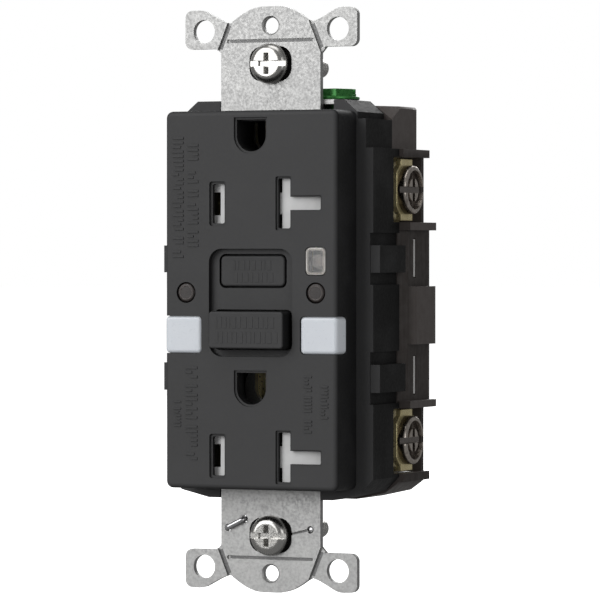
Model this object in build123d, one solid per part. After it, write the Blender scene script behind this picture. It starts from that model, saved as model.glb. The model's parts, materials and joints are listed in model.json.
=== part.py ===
from build123d import *
import math
import os

# A ground-fault duplex outlet with a night light, 20 A pattern, as an assembly of separate pieces.
# Millimetres. +Z is up, +X is to the right seen from the room, and the face looks along -Y.
# The origin is midway between the two box screws, on the rear face of the mounting strap (y = 0).
# Every function builds one node, and the last section writes each to parts/NODE.step.
# The pieces rest as they are delivered: tripped, with the terminal screws backed off three turns.

# ---- driving dimensions ------------------------------------------------------------------
STRAP_T = 1.2  # strap sheet thickness; its rear face is y = 0
FACE_Y = -9.6  # front plane of the face
LEDGE_Y = -1.3  # front plane of the shoulder around the face
SPLIT_Y = 10.4  # joint between the front cover's skirt and the rear cover
REAR_Y = 22.4  # outside of the rear wall
WALL = 1.8  # housing wall
FACE_W, FACE_H = 33.2, 66.4  # face block
BODY_HW, BODY_HH = 19.8, 35.2  # skirt half width and half height
FACE_TOP_Z, FACE_LOW_Z = 31.4, -32.2  # ends of the room behind the face

BOX_SCREW_Z = 41.67  # 83.34 mm between the box screws
BOX_SCREW_R = 1.75  # 6-32 thread, major radius
BOX_NECK_R, BOX_NECK_Y = 1.5, 2.2  # plain neck under the head, which the retainer holds
PLATE_SCREW_Z = 48.42  # 96.84 mm between the wall-plate screws
PLATE_HOLE_R = 1.45
EAR_HOLE_X, EAR_HOLE_Z = 13.0, 47.6  # ear holes
NECK_HW = 9.65  # half width of the strap's neck
NECK_NOTCH = 9.8  # half width of its way out of the cover
GROUND_NOTCH_X = 12.3  # the top way out is wider on the right, for the ground screw's tab

BLADE_X = 6.35  # half of the 12.7 mm blade spacing
GROUND_UP = 11.9  # ground pin above its blades
OUTLET_Z = {"upper": 16.9, "lower": -27.4}  # height of each outlet's blades
SLOT_W = 2.3  # throat width of a blade slot
HOT_SLOT_H, NEUTRAL_SLOT_H = 6.9, 8.7
CROSS_SLOT_X = 13.3  # outer end of the neutral cross slot
GROUND_W = 5.6  # ground hole width

RECESS_DEPTH = 1.1
RECESS_FLOOR_Y = FACE_Y + RECESS_DEPTH
RECESS_W, RECESS_TOP, RECESS_BOTTOM = 16.1, 9.0, -9.9
TEST_Z, TEST_W, TEST_H = 5.1, 12.4, 5.4
RESET_Z, RESET_W, RESET_H = -5.2, 14.3, 6.5
RESET_PROUD = 2.1  # how far the reset button stands in front of the face
BUTTON_GAP = 0.3

LENS_X, ROUND_LENS_Z, SENSOR_Z = 12.5, 1.3, 6.8
NIGHT_Z, NIGHT_H, NIGHT_X0 = -6.1, 6.6, 9.5  # white corner lenses
NIGHT_SIDE = 4.0  # how far each runs down the face's side

TERMINAL_Z = {"line": 19.5, "load": -25.1}
TERMINAL_Y = 15.2  # terminal screw axis
PLATE_X0, PLATE_T = 14.6, 1.0  # fixed terminal plate
CLAMP_X0, CLAMP_T = 18.2, 1.0  # pressure plate, backed off
POCKET_HALF = 5.8  # half height of a terminal pocket
POCKET_X = 11.1  # inner wall of a terminal pocket
POCKET_Y0 = 7.8  # front edge of the pocket's opening in the skirt
SCREW_R = 2.05  # terminal thread

BUS_Y0, BUS_Y1 = 7.0, 7.8  # plane of the buses, 16.6 mm behind the face
TRAY_Y0, TRAY_Y1 = 8.0, 9.2  # separator floor
BOARD_Y0, BOARD_Y1 = 9.6, 11.0  # circuit board
REST = 0.02  # gap under a piece that sits on the board or the strap
LATCH_Y = 14.6  # front of the latch plate
CORE_Z = 21.5  # centre of the transformer cores
ARM_Y, ARM_T = 16.3, 0.5
ARM_ROOT_Z, ARM_TIP_Z = 11.0, -9.6
CONTACT_Z = -8.0
FIXED_Y = 13.8  # seat of the fixed contacts
FACE_T, THIN_FACE_T = 2.2, 1.2  # the face's wall, and where it is thinner over the shutters
SHUTTER_Y0, SHUTTER_Y1 = FACE_Y + THIN_FACE_T + 0.1, -5.0
SHUTTER_HALF = 4.45  # half height of a shutter door
BOSS_Y0 = -3.7  # front end of the screw bosses
BOSS_XZ = [(-12.6, 30.9), (12.6, 30.9), (-12.6, -31.6), (12.6, -31.6)]  # housing screws

SIDES = {"hot": -1, "neutral": 1}


# ---- small helpers -----------------------------------------------------------------------
def block(x0, x1, y0, y1, z0, z1):
    """A box between two corners."""
    return Pos((x0 + x1) / 2, (y0 + y1) / 2, (z0 + z1) / 2) * Box(x1 - x0, y1 - y0, z1 - z0)


def slab(sketch, y0, y1):
    """A front-view sketch (local x is X, local y is Z) given thickness from y0 to y1."""
    return Pos(0, y1, 0) * (Plane.XZ * extrude(sketch, amount=y1 - y0))


def side_slab(sketch, x0, x1):
    """A side-view sketch (local x is Y, local y is Z) given thickness from x0 to x1."""
    return Pos(x0, 0, 0) * (Plane.YZ * extrude(sketch, amount=x1 - x0))


def rod_y(x, z, r, y0, y1):
    return Pos(x, (y0 + y1) / 2, z) * Rot(90, 0, 0) * Cylinder(r, y1 - y0)


def rod_x(y, z, r, x0, x1):
    return Pos((x0 + x1) / 2, y, z) * Rot(0, 90, 0) * Cylinder(r, x1 - x0)


def rod_z(x, y, r, z0, z1):
    return Pos(x, y, (z0 + z1) / 2) * Cylinder(r, z1 - z0)


def rounded(x, z, w, h, r):
    """A rounded rectangle in the front view."""
    return Pos(x, z) * RectangleRounded(w, h, r)


def mirrored_outline(right_half):
    """A closed face from the right half of a left-right symmetric front outline, top to bottom."""
    left_half = [(-x, z) for x, z in reversed(right_half) if x > 0]
    return make_face(Polyline(*right_half, *left_half, close=True))


def both_sides(solid):
    """A piece and its mirror image across the middle plane x = 0."""
    return solid + mirror(solid, about=Plane.YZ)


def group(*solids):
    """Separate solids that share one node."""
    return Compound(children=[s for item in solids for s in item.solids()])


def coil(x, y0, y1, z, r, wire, turns):
    """A compression spring along Y."""
    pitch = (y1 - y0 - wire) / turns
    path = Helix(pitch=pitch, height=y1 - y0 - wire, radius=r)
    profile = Plane(origin=path @ 0, z_dir=path % 0) * Circle(wire / 2)
    return Pos(x, y0 + wire / 2, z) * Rot(-90, 0, 0) * sweep(profile, path=path, is_frenet=True)


# ---- housing -----------------------------------------------------------------------------
def skirt_outline(inset):
    """The housing's outline behind the face. Its top shoulders step in, and its bottom corners slope."""
    corners = [
        (0, BODY_HH - inset),
        (14.2 - inset, BODY_HH - inset),
        (16.8 - inset, 33.0 - inset * 0.6),
        (16.8 - inset, 31.8 - inset),
        (18.4 - inset, 31.8 - inset),
        (18.4 - inset, 26.7 - inset),
        (BODY_HW - inset, 26.7 - inset),
        (BODY_HW - inset, -31.4 + inset * 0.4),
        (17.4 - inset, -33.9 + inset),
        (12.0 - inset, -BODY_HH + inset),
        (0, -BODY_HH + inset),
    ]
    return mirrored_outline(corners)


def slot_cross(z, inflate):
    """The neutral T opening: an upright slot with a cross slot towards the outside."""
    upright = rounded(BLADE_X, z, SLOT_W + inflate, NEUTRAL_SLOT_H + inflate, 0.3)
    cross_mid = (BLADE_X + CROSS_SLOT_X + inflate / 2) / 2
    cross = rounded(cross_mid, z, CROSS_SLOT_X - BLADE_X + inflate / 2, SLOT_W + inflate * 0.6, 0.3)
    return upright + cross


def ground_shape(z, inflate):
    """The ground opening: flat on top, half round below."""
    r = (GROUND_W + inflate) / 2
    upper = Pos(0, z + r / 2) * Rectangle(2 * r, r)
    return upper + Pos(0, z) * Circle(r)


def front_cover():
    face = extrude(RectangleRounded(FACE_W, FACE_H, 1.2), amount=LEDGE_Y - FACE_Y + 0.5)
    face = fillet(face.faces().sort_by(Axis.Z)[-1].edges(), 0.9)
    cover = Pos(0, LEDGE_Y + 0.5, 0) * (Plane.XZ * face)
    cover += slab(skirt_outline(0), LEDGE_Y, SPLIT_Y)
    cover -= block(-FACE_W / 2 + WALL, FACE_W / 2 - WALL, FACE_Y + FACE_T, 3, FACE_LOW_Z, FACE_TOP_Z)
    cover -= slab(skirt_outline(WALL), LEDGE_Y + WALL, SPLIT_Y + 1)
    # the shallow panel that holds both buttons, and a floor behind it
    mid_z, high = (RECESS_TOP + RECESS_BOTTOM) / 2, RECESS_TOP - RECESS_BOTTOM
    cover += block(-9.6, 9.6, FACE_Y + 1.5, RECESS_FLOOR_Y + 2.0, RECESS_BOTTOM - 1.4, RECESS_TOP + 1.2)
    cover -= slab(rounded(0, mid_z, RECESS_W, high, 2.4), FACE_Y - 1, RECESS_FLOOR_Y)
    for z, w, h, r in ((TEST_Z, TEST_W, TEST_H, 0.9), (RESET_Z, RESET_W, RESET_H, 0.6)):
        cover -= slab(rounded(0, z, w + 2 * BUTTON_GAP, h + 2 * BUTTON_GAP, r + BUTTON_GAP), FACE_Y - 1, 0)
    for name, z in OUTLET_Z.items():
        cover -= blade_openings(z)
        cover -= block(-14.5, 14.5, FACE_Y + THIN_FACE_T, FACE_Y + FACE_T + 1, z - 4.75, z + 4.75)
        cover += ground_tunnel(z + GROUND_UP, 7.6 if name == "upper" else 3.2)
    cover -= face_openings()
    cover -= neck_notch(1) + neck_notch(-1)
    # snap tongues with a dark relief on each side
    for low, high in ((4.8, 9.6), (-16.2, -11.3)):
        relief = block(19.2, 20.2, LEDGE_Y - 1, SPLIT_Y + 1, low - 2.1, high + 2.2)
        tongue = block(18.4, 21.0, LEDGE_Y + 0.2, SPLIT_Y, low, high)
        cover = cover - both_sides(relief) + both_sides(tongue)
    for z in TERMINAL_Z.values():  # room for the pressure plates in front of each pocket
        cover -= both_sides(block(17.2, 22, POCKET_Y0, SPLIT_Y + 1, z - POCKET_HALF, z + POCKET_HALF))
    for x, z in BOSS_XZ:
        cover = cover + rod_y(x, z, 2.1, BOSS_Y0, 1.4) - rod_y(x, z, 1.15, BOSS_Y0 + 0.4, 2)
    return cover


def neck_notch(s):
    """Where the strap's neck leaves the cover at one end."""
    inside = block(-NECK_NOTCH, NECK_NOTCH, -STRAP_T - 0.05, SPLIT_Y + 1, 31, 33.3)
    right = GROUND_NOTCH_X if s > 0 else NECK_NOTCH
    outside = block(-NECK_NOTCH, right, LEDGE_Y - 0.1, SPLIT_Y + 1, 33.2, 40)
    notch = inside + outside
    return notch if s > 0 else mirror(notch, about=Plane.XY)


def blade_openings(z):
    """Both blade slots of an outlet, each with a bevelled mouth."""
    hot = rounded(-BLADE_X, z, SLOT_W, HOT_SLOT_H, 0.3)
    hot_mouth = rounded(-BLADE_X, z, SLOT_W + 0.9, HOT_SLOT_H + 0.9, 0.5)
    cut = slab(hot, FACE_Y - 1, FACE_Y + 4) + slab(hot_mouth, FACE_Y - 1, FACE_Y + 0.45)
    cut += slab(slot_cross(z, 0), FACE_Y - 1, FACE_Y + 4)
    return cut + slab(slot_cross(z, 0.7), FACE_Y - 1, FACE_Y + 0.4)


def ground_tunnel(z, depth):
    """A short sleeve behind the ground hole."""
    return slab(ground_shape(z, 2.0) - ground_shape(z, 0), FACE_Y + 2.0, FACE_Y + depth)


def face_openings():
    """The ground holes, and the openings for the lenses and the sensor window."""
    cuts = slab(rounded(LENS_X, SENSOR_Z, 4.0, 5.0, 0.9), FACE_Y - 1, FACE_Y + 4)
    for z in OUTLET_Z.values():
        cuts += slab(ground_shape(z + GROUND_UP, 0), FACE_Y - 1, FACE_Y + 2.3)
        cuts += slab(ground_shape(z + GROUND_UP, 0.8), FACE_Y - 1, FACE_Y + 0.4)
    for x in (-LENS_X, LENS_X):
        cuts += rod_y(x, ROUND_LENS_Z, 1.85, FACE_Y - 1, FACE_Y + 4)
        inner = (NIGHT_X0 + FACE_W / 2 + 2) / 2
        notch = rounded(math.copysign(inner, x), NIGHT_Z, FACE_W / 2 + 2 - NIGHT_X0, NIGHT_H, 0.8)
        cuts += slab(notch, FACE_Y - 1, FACE_Y + NIGHT_SIDE)
    return cuts


def rear_outline_parts():
    """(low Z, high Z, half width) of the rear cover's bands, bottom to top."""
    line, load = TERMINAL_Z["line"], TERMINAL_Z["load"]
    return [
        (load - POCKET_HALF - 1.5, load - POCKET_HALF, 20.6),
        (load - POCKET_HALF, load + POCKET_HALF, 19.7),
        (load + POCKET_HALF, load + POCKET_HALF + 1.3, 21.9),
        (load + POCKET_HALF + 1.3, -8.0, 20.8),
        (-8.0, 2.3, 22.0),
        (2.3, line - POCKET_HALF - 1.4, 20.8),
        (line - POCKET_HALF - 1.4, line - POCKET_HALF, 21.9),
        (line - POCKET_HALF, line + POCKET_HALF, 19.7),
        (line + POCKET_HALF, line + POCKET_HALF + 1.4, 20.6),
    ]


def rear_cover():
    y0 = SPLIT_Y + 0.05
    top_edge = TERMINAL_Z["line"] + POCKET_HALF + 1.4
    low_edge = TERMINAL_Z["load"] - POCKET_HALF - 1.5
    top_z, low_z = top_edge - 0.1, low_edge + 0.1
    cap = mirrored_outline([(0, 34.4), (17.9, 34.4), (18.3, 34.0), (18.3, top_z), (0, top_z)])
    round_end = [(19.6, low_z), (19.2, -32.8), (17.0, -34.4), (11.5, -35.6)]
    heel = mirrored_outline([(0, low_z), *round_end, (0, -35.6)])
    slope = Plane(origin=(15.2, y0, 34.4), z_dir=(1 / 3.1, -1 / 4.75, 1 / 2.4))
    corner = slope * Pos(0, 0, 5) * Box(20, 20, 10)
    cover = slab(cap, y0, REAR_Y) - both_sides(corner) + slab(heel, y0, REAR_Y)
    for low, high, half in rear_outline_parts():
        cover += block(-half, half, y0, REAR_Y, low, high)
    # front bevels on the wide bands, so that each one slopes back from the skirt
    for low, high, half in rear_outline_parts():
        if half > 20 and high - low > 3:
            depth = 2.6 if half > 21 else 1.4
            bevel = Polyline((half - depth, y0), (half, y0 + depth), (half + 1, y0), close=True)
            cover -= both_sides(Pos(0, 0, low) * extrude(make_face(bevel), amount=high - low))
    edges = cover.edges().filter_by(Axis.Z).filter_by(lambda e: abs(e.center().Y - REAR_Y) < 0.01)
    cover = chamfer(edges.filter_by(lambda e: abs(e.center().X) > 17.5 and e.length > 3), 0.6)
    # the middle room, then a pocket for each terminal with its plate groove and wire holes
    cover -= block(-16.4, 16.4, y0 - 1, REAR_Y - WALL, -17.8, 12.2)
    cover -= block(-9.8, 9.8, y0 - 1, REAR_Y - WALL, -33.6, 32.6)
    for z in TERMINAL_Z.values():
        pocket = block(POCKET_X, 24, y0 - 1, REAR_Y - WALL, z - POCKET_HALF, z + POCKET_HALF)
        groove = block(
            PLATE_X0 - 0.05,
            PLATE_X0 + PLATE_T + 0.05,
            y0 - 1,
            REAR_Y - WALL + 0.6,
            z - POCKET_HALF - 0.75,
            z + POCKET_HALF + 0.75,
        )
        cover -= both_sides(pocket) + both_sides(groove)
        for dz in (-3.4, 3.4):
            hole = Pos(16.7, z + dz) * RectangleRounded(2.6, 3.4, 1.2)
            cover -= both_sides(slab(hole, REAR_Y - 3, REAR_Y + 1))
    for x, z in BOSS_XZ:
        cover -= rod_y(x, z, 1.35, y0 - 1, REAR_Y + 1)
        cover -= rod_y(x, z, 2.7, REAR_Y - 1.9, REAR_Y + 1)
    # a shallow label panel, a strip gauge and cooling slits on the rear wall
    cover -= slab(rounded(0, 16.0, 16.0, 20.0, 1.0), REAR_Y - 0.3, REAR_Y + 1)
    cover -= slab(rounded(0, -29.5, 10.0, 2.0, 0.9), REAR_Y - 0.8, REAR_Y + 1)
    for i in range(5):
        cover -= slab(rounded(0, -18.0 + 3.4 * i, 14.0, 1.3, 0.6), REAR_Y - 3, REAR_Y + 1)
    # slits down each column, between the ledges and the wide band
    for low, high in ((3.8, 10.9), (-17.0, -9.9)):
        cover -= both_sides(block(20.4, 21.4, 14.4, 15.5, low, high))
    return cover


def mid_housing():
    """The separator that carries the buses: a floor, side walls inside the skirt, and two end tabs."""
    tray = slab(skirt_outline(WALL + 0.15), TRAY_Y0, TRAY_Y1)
    rim = slab(skirt_outline(WALL + 0.15) - skirt_outline(WALL + 1.25), 2.2, SPLIT_Y)
    tray += rim
    for s in (-1, 1):
        tab = block(-NECK_HW + 0.05, NECK_HW - 0.05, 0.05, SPLIT_Y, 31.6, 35.2)
        tray += tab if s > 0 else mirror(tab, about=Plane.XY)
    # insulating blocks behind the buses guide the terminal plates
    room = slab(skirt_outline(WALL + 0.15), 0, SPLIT_Y)
    for z in TERMINAL_Z.values():
        guide = block(11.2, 17.6, TRAY_Y1 - 0.1, SPLIT_Y, z - POCKET_HALF, z + POCKET_HALF) & room
        relief = block(17.1, 22, POCKET_Y0 - 0.1, SPLIT_Y + 1, z - POCKET_HALF, z + POCKET_HALF)
        tray = tray + both_sides(guide) - both_sides(relief)
    for z in (-3.2, 8.4):  # posts that hold the lamp boards
        tray += both_sides(rod_y(12.2, z, 0.9, -2.58, TRAY_Y0 + 0.1))
    for x, z in ((-8.6, -29.8), (8.6, -29.8), (-8.6, 12.4), (8.6, 12.4)):  # pads under the circuit board
        tray += rod_y(x, z, 0.8, TRAY_Y1 - 0.1, BOARD_Y0 - 0.02)
    return tray - tray_openings()


def tray_openings():
    cuts = rod_y(0, RESET_Z, 1.7, TRAY_Y0 - 1, TRAY_Y1 + 1)
    for s in (-1, 1):
        cuts += rod_y(s * 1.6, CORE_Z, 0.9, TRAY_Y0 - 1, TRAY_Y1 + 1)
    for z in OUTLET_Z.values():  # long ground pins reach through the floor
        cuts += slab(ground_shape(z + GROUND_UP, 0.6), TRAY_Y0 - 1, TRAY_Y1 + 1)
    for x, z in BOSS_XZ:
        cuts += rod_y(x, z, 1.35, 0, SPLIT_Y + 1)
    for z in TERMINAL_Z.values():
        slot = block(PLATE_X0 - 0.1, PLATE_X0 + PLATE_T + 0.1, 3, SPLIT_Y + 1, z - 4.5, z + 4.5)
        cuts += both_sides(slot)
    cuts += both_sides(block(14.2, 15.4, TRAY_Y0 - 1, TRAY_Y1 + 1, CONTACT_Z - 2.2, CONTACT_Z + 2.2))
    # the ground bracket and the ground screw's point
    cuts += block(4.6, GROUND_NOTCH_X + 0.1, -1, 8.4, 31.0, 36.0)
    return cuts


# ---- strap, ground path and box screws ---------------------------------------------------
def strap_end_outline():
    """Right half of the strap's upper end, from the notch beside the hump down to the neck."""
    hump = Spline(
        (0, 51.8), (2.2, 51.75), (4.4, 51.1), (6.4, 49.95), (8.1, 49.0), tangents=((1, 0), (1, -0.35))
    )
    ear_top = Spline((8.1, 49.0), (10.0, 49.7), (12.2, 50.9), (14.0, 51.4), tangents=((1, 0.2), (1, 0.05)))
    ear = Polyline((14.0, 51.4), (16.7, 51.3), (16.7, 44.5), (10.6, 44.5), (NECK_HW, 43.4))
    neck = Polyline((NECK_HW, 43.4), (NECK_HW, 31.6), (0, 31.6), (0, 51.8))
    return hump + ear_top + ear + neck


def mounting_strap():
    half = make_face(strap_end_outline())
    half = fillet(half.vertices().sort_by(Axis.X)[-2:], 1.3)
    end = half + mirror(half, about=Plane.YZ)
    spine = Rectangle(7.0, 64) + Rectangle(14.0, 17.6) + Pos(0, 31.0) * Rectangle(2 * NECK_HW, 2.0)
    for z in OUTLET_Z.values():
        spine += Pos(0, z + GROUND_UP) * Circle(5.0)
    strap = slab(end + mirror(end, about=Plane.XZ) + spine, -STRAP_T, 0)
    strap -= rod_y(0, TEST_Z, 1.6, -3, 1) + rod_y(0, RESET_Z, 1.7, -3, 1)
    for z in OUTLET_Z.values():
        strap -= slab(ground_shape(z + GROUND_UP, 0.4), -3, 1)
        for dz in RIVET_DZ:
            strap -= rod_y(0, z + GROUND_UP + dz, RIVET_R, -3, 1)
    for s in (-1, 1):
        strap -= slab(rounded(0, s * BOX_SCREW_Z, 8.2, 6.2, 2.4), -3, 1)
        strap -= rod_y(0, s * PLATE_SCREW_Z, PLATE_HOLE_R, -3, 1)
        strap -= Pos(0, -STRAP_T, s * PLATE_SCREW_Z) * Rot(-90, 0, 0) * Cone(2.0, PLATE_HOLE_R, 0.6)
        score = slab(rounded(0, s * 45.75, 17.0, 0.7, 0.3), -STRAP_T - 1, -STRAP_T + 0.35)
        strap -= score
        for side in (-1, 1):
            strap -= rod_y(side * EAR_HOLE_X, s * EAR_HOLE_Z, 2.1, -3, 1)
            tilt = side * s * math.degrees(math.atan2(2.0, 4.9))
            groove = Pos(side * 9.0, s * 46.4) * Rot(0, 0, tilt) * Rectangle(0.9, 6.4)
            strap -= slab(groove, -STRAP_T - 1, -STRAP_T + 0.45)
    for x, z in CLIP_HOLES:
        strap -= rod_y(x, z, 0.65, -3, 1)
    wire_groove = Pos(5.8, -40.95) * Rot(0, 0, 13) * Rectangle(3.9, 0.5)  # from the slot to the wire's far hole
    strap -= slab(wire_groove, -STRAP_T - 1, -STRAP_T + 0.4)
    return strap


RIVET_R, RIVET_DZ = 0.7, (-4.1, -6.7)  # strap rivets, below each ground pin
CLIP_Y1 = 0.62  # rear face of the ground contacts' base
CLIP_HOLES = [(-8.3, -40.5), (-5.1, -38.9), (7.7, -40.5)]  # where the self-grounding wire passes


def ground_contact(z):
    """A folded brass clip around the ground pin's path, riveted behind the strap."""
    leaf = block(2.3, 2.8, REST, BUS_Y0, z - 3.2, z + 2.7)
    if z > 0:  # the upper leaves are cut back from the strap and only join the base below the pin
        leaf -= block(2, 3, -1, 2.6, z - 2.6, z + 3)
        base = block(-3.0, 3.0, REST, CLIP_Y1, z - 8.2, z - 2.6)
    else:
        base = block(-3.0, 3.0, REST, CLIP_Y1, z - 8.2, z + 2.7) - block(-2.3, 2.3, -1, 2, z - 2.6, z + 3)
    contact = base + both_sides(leaf)
    for dz in RIVET_DZ:
        contact -= rod_y(0, z + dz, RIVET_R, -1, 2)
    return contact


def ground_contacts():
    return group(*[ground_contact(z + GROUND_UP) for z in OUTLET_Z.values()])


def strap_rivets():
    rivets = []
    for z in OUTLET_Z.values():
        for dz in RIVET_DZ:
            height = z + GROUND_UP + dz
            shank = rod_y(0, height, RIVET_R, -STRAP_T - 0.45, 1.1)
            head = rod_y(0, height, 1.15, -STRAP_T - 0.45, -STRAP_T)
            rivets.append(shank + head + rod_y(0, height, 1.1, CLIP_Y1, 1.1))
    return group(*rivets)


GROUND_SCREW_X, GROUND_SCREW_Y = 9.2, 5.5
GROUND_TAB_Z = 34.4


def ground_terminal():
    """A bracket riveted behind the strap whose top tab lies over the end of the housing."""
    leg = block(5.2, 9.5, 0.0, 0.9, 30.6, GROUND_TAB_Z + 0.9)
    tab = block(5.0, 12.1, 0.0, 8.2, GROUND_TAB_Z, GROUND_TAB_Z + 0.9)
    tab -= rod_z(GROUND_SCREW_X, GROUND_SCREW_Y, 1.75, 34, 38)
    return leg + tab


def ground_screw():
    """Green hex washer head screw, pointing down through the tab."""
    x, y, z = GROUND_SCREW_X, GROUND_SCREW_Y, GROUND_TAB_Z + 0.95
    head = Pos(x, y, z) * extrude(RegularPolygon(4.4, 6), amount=1.9)
    head &= Pos(x, y, z + 0.2) * Sphere(4.75)
    head += rod_z(x, y, 4.65, z, z + 0.55)
    head -= block(x - 6, x + 6, y - 0.6, y + 0.6, z + 1.0, z + 3)
    return head + rod_z(x, y, 1.68, 29.4, z)


def box_screw(s):
    """A 6-32 combination-head screw, captive in the strap."""
    z = s * BOX_SCREW_Z
    head = Pos(0, -STRAP_T - 0.02, z) * Rot(90, 0, 0) * extrude(Circle(3.55), amount=1.9)
    head = fillet(head.edges().sort_by(Axis.Y)[0], 1.4)
    slot = block(-4, 4, -STRAP_T - 3, -STRAP_T - 1.05, z - 0.5, z + 0.5)
    cross = block(-0.5, 0.5, -STRAP_T - 3, -STRAP_T - 0.6, z - 1.9, z + 1.9)
    bar = block(-1.9, 1.9, -STRAP_T - 3, -STRAP_T - 0.6, z - 0.5, z + 0.5)
    neck = rod_y(0, z, BOX_NECK_R, -STRAP_T - 0.3, BOX_NECK_Y + 0.1)
    shank = rod_y(0, z, BOX_SCREW_R, BOX_NECK_Y, 20.2)
    point = Pos(0, 20.9, z) * Rot(-90, 0, 0) * Cone(BOX_SCREW_R, 0.9, 1.4)
    return head - slot - cross - bar + neck + shank + point


def screw_retainers():
    """Square fibre washers behind the strap that keep the box screws captive."""
    washers = []
    for s in (-1, 1):
        z = s * BOX_SCREW_Z
        washer = slab(rounded(0, z, 11.0, 9.0, 0.8), REST, REST + 0.8)
        washer -= rod_y(0, z, BOX_NECK_R + 0.05, -1, 2)
        if s < 0:  # notch for the self-grounding wire
            washer -= block(-6, -4.4, -0.1, 1.0, z + 1.9, z + 3.7)
        washers.append(washer)
    return group(*washers)


def ground_clip():
    """Self-grounding spring wire: it threads through the strap and bears on the lower box screw."""
    (x0, z0), (x1, z1), (x2, z2) = CLIP_HOLES
    front, rear = -STRAP_T - 0.55, 1.32
    bow = -BOX_SCREW_Z + BOX_NECK_R + 0.45 + 0.05
    through = [(x0, 0.3, z0), (x0, front, z0), (x1, front, z1), (x1, rear, z1)]
    path = FilletPolyline(*through, (0, rear, bow), (x2, rear, z2), (x2, -0.9, z2), radius=0.5)
    wire = sweep(Plane(origin=path @ 0, z_dir=path % 0) * Circle(0.45), path=path)
    return wire


# ---- buttons and lenses ------------------------------------------------------------------
def cap_block(w, h, r, y0, y1, edge):
    """A button cap: rounded outline with a softened front edge."""
    cap = extrude(RectangleRounded(w, h, r), amount=y1 - y0)
    cap = fillet(cap.faces().sort_by(Axis.Z)[-1].edges(), edge)
    return Pos(0, y1, 0) * (Plane.XZ * cap)


def test_button():
    cap = Pos(0, 0, TEST_Z) * cap_block(TEST_W, TEST_H, 0.9, RECESS_FLOOR_Y - 0.15, -6.3, 0.4)
    flange = slab(rounded(0, TEST_Z, TEST_W + 1.6, TEST_H + 1.4, 1.0), -6.4, -5.4)
    return cap + flange + rod_y(0, TEST_Z, 1.35, -5.5, 2.0)


def reset_button():
    cap = Pos(0, 0, RESET_Z) * cap_block(RESET_W, RESET_H, 0.6, FACE_Y - RESET_PROUD, -6.3, 0.35)
    flange = slab(rounded(0, RESET_Z, RESET_W + 1.6, RESET_H + 1.4, 1.0), -6.4, -5.4)
    stem = rod_y(0, RESET_Z, 1.5, -5.5, -3.9) - rod_y(0, RESET_Z, 0.95, -9, 0)
    return cap - rod_y(0, RESET_Z, 0.95, -9, 0) + (flange - rod_y(0, RESET_Z, 0.95, -9, 0)) + stem


PIN_TIP_Y = LATCH_Y - 1.55


def reset_pin():
    """Turned steel pin: a long shank, a groove for the latch plate, and a small head."""
    shank = rod_y(0, RESET_Z, 0.95, -8.8, PIN_TIP_Y - 3.2)
    groove = rod_y(0, RESET_Z, 0.6, PIN_TIP_Y - 3.3, PIN_TIP_Y - 0.6)
    head = Pos(0, PIN_TIP_Y - 0.35, RESET_Z) * Rot(-90, 0, 0) * Cone(0.95, 0.6, 0.7)
    return shank + groove + head


def status_lenses():
    lenses = []
    for x in (-LENS_X, LENS_X):
        lens = rod_y(x, ROUND_LENS_Z, 1.7, FACE_Y + 0.05, -6.6)
        lens = fillet(lens.edges().sort_by(Axis.Y)[0], 0.35)
        lenses.append(lens + rod_y(x, ROUND_LENS_Z, 2.2, -7.3, -6.5))
    return group(*lenses)


def sensor_window():
    window = extrude(RectangleRounded(3.8, 4.8, 0.8), amount=4.2)
    window = fillet(window.faces().sort_by(Axis.Z)[-1].edges(), 0.3)
    window = Pos(LENS_X, FACE_Y - 0.1 + 4.2, SENSOR_Z) * (Plane.XZ * window)
    return window - rod_y(LENS_X, SENSOR_Z, 1.3, FACE_Y + 1.6, 0)


def night_light_lenses():
    """White corner blocks that wrap from the face onto its side."""
    lenses = []
    for s in (-1, 1):
        w = FACE_W / 2 - NIGHT_X0
        lens = extrude(RectangleRounded(w - 0.1, NIGHT_H - 0.1, 0.75), amount=NIGHT_SIDE - 0.05)
        lens = fillet(lens.faces().sort_by(Axis.Z)[-1].edges(), 0.6)
        mid = s * (NIGHT_X0 + w / 2)
        lens = Pos(mid, FACE_Y + NIGHT_SIDE - 0.05, NIGHT_Z) * (Plane.XZ * lens)
        cavity = block(*sorted((s * 10.5, s * 14.6)), FACE_Y + 1.4, 0, NIGHT_Z - 2.2, NIGHT_Z + 2.2)
        lenses.append(lens - cavity)
    return group(*lenses)


def lamp_boards():
    """Two slim boards behind the lenses, carrying the lamps."""
    boards = [block(*sorted((s * 9.9, s * 14.4)), -3.4, -2.6, -9.4, 9.4) for s in (-1, 1)]
    return group(*boards)


def lamps():
    """Surface lamps and the light sensor, on the lamp boards."""
    bodies = []
    for s in (-1, 1):
        dome = block(s * 12.5 - 1.3, s * 12.5 + 1.3, -4.4, -3.42, NIGHT_Z - 1.4, NIGHT_Z + 1.4)
        bodies.append(dome + Pos(s * 12.5, -4.4, NIGHT_Z) * Sphere(1.0))
        bodies.append(rod_y(s * LENS_X, ROUND_LENS_Z, 1.0, -5.6, -3.42))
    bodies.append(rod_y(LENS_X, SENSOR_Z, 1.1, -7.4, -3.42))
    return group(*bodies)


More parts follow.
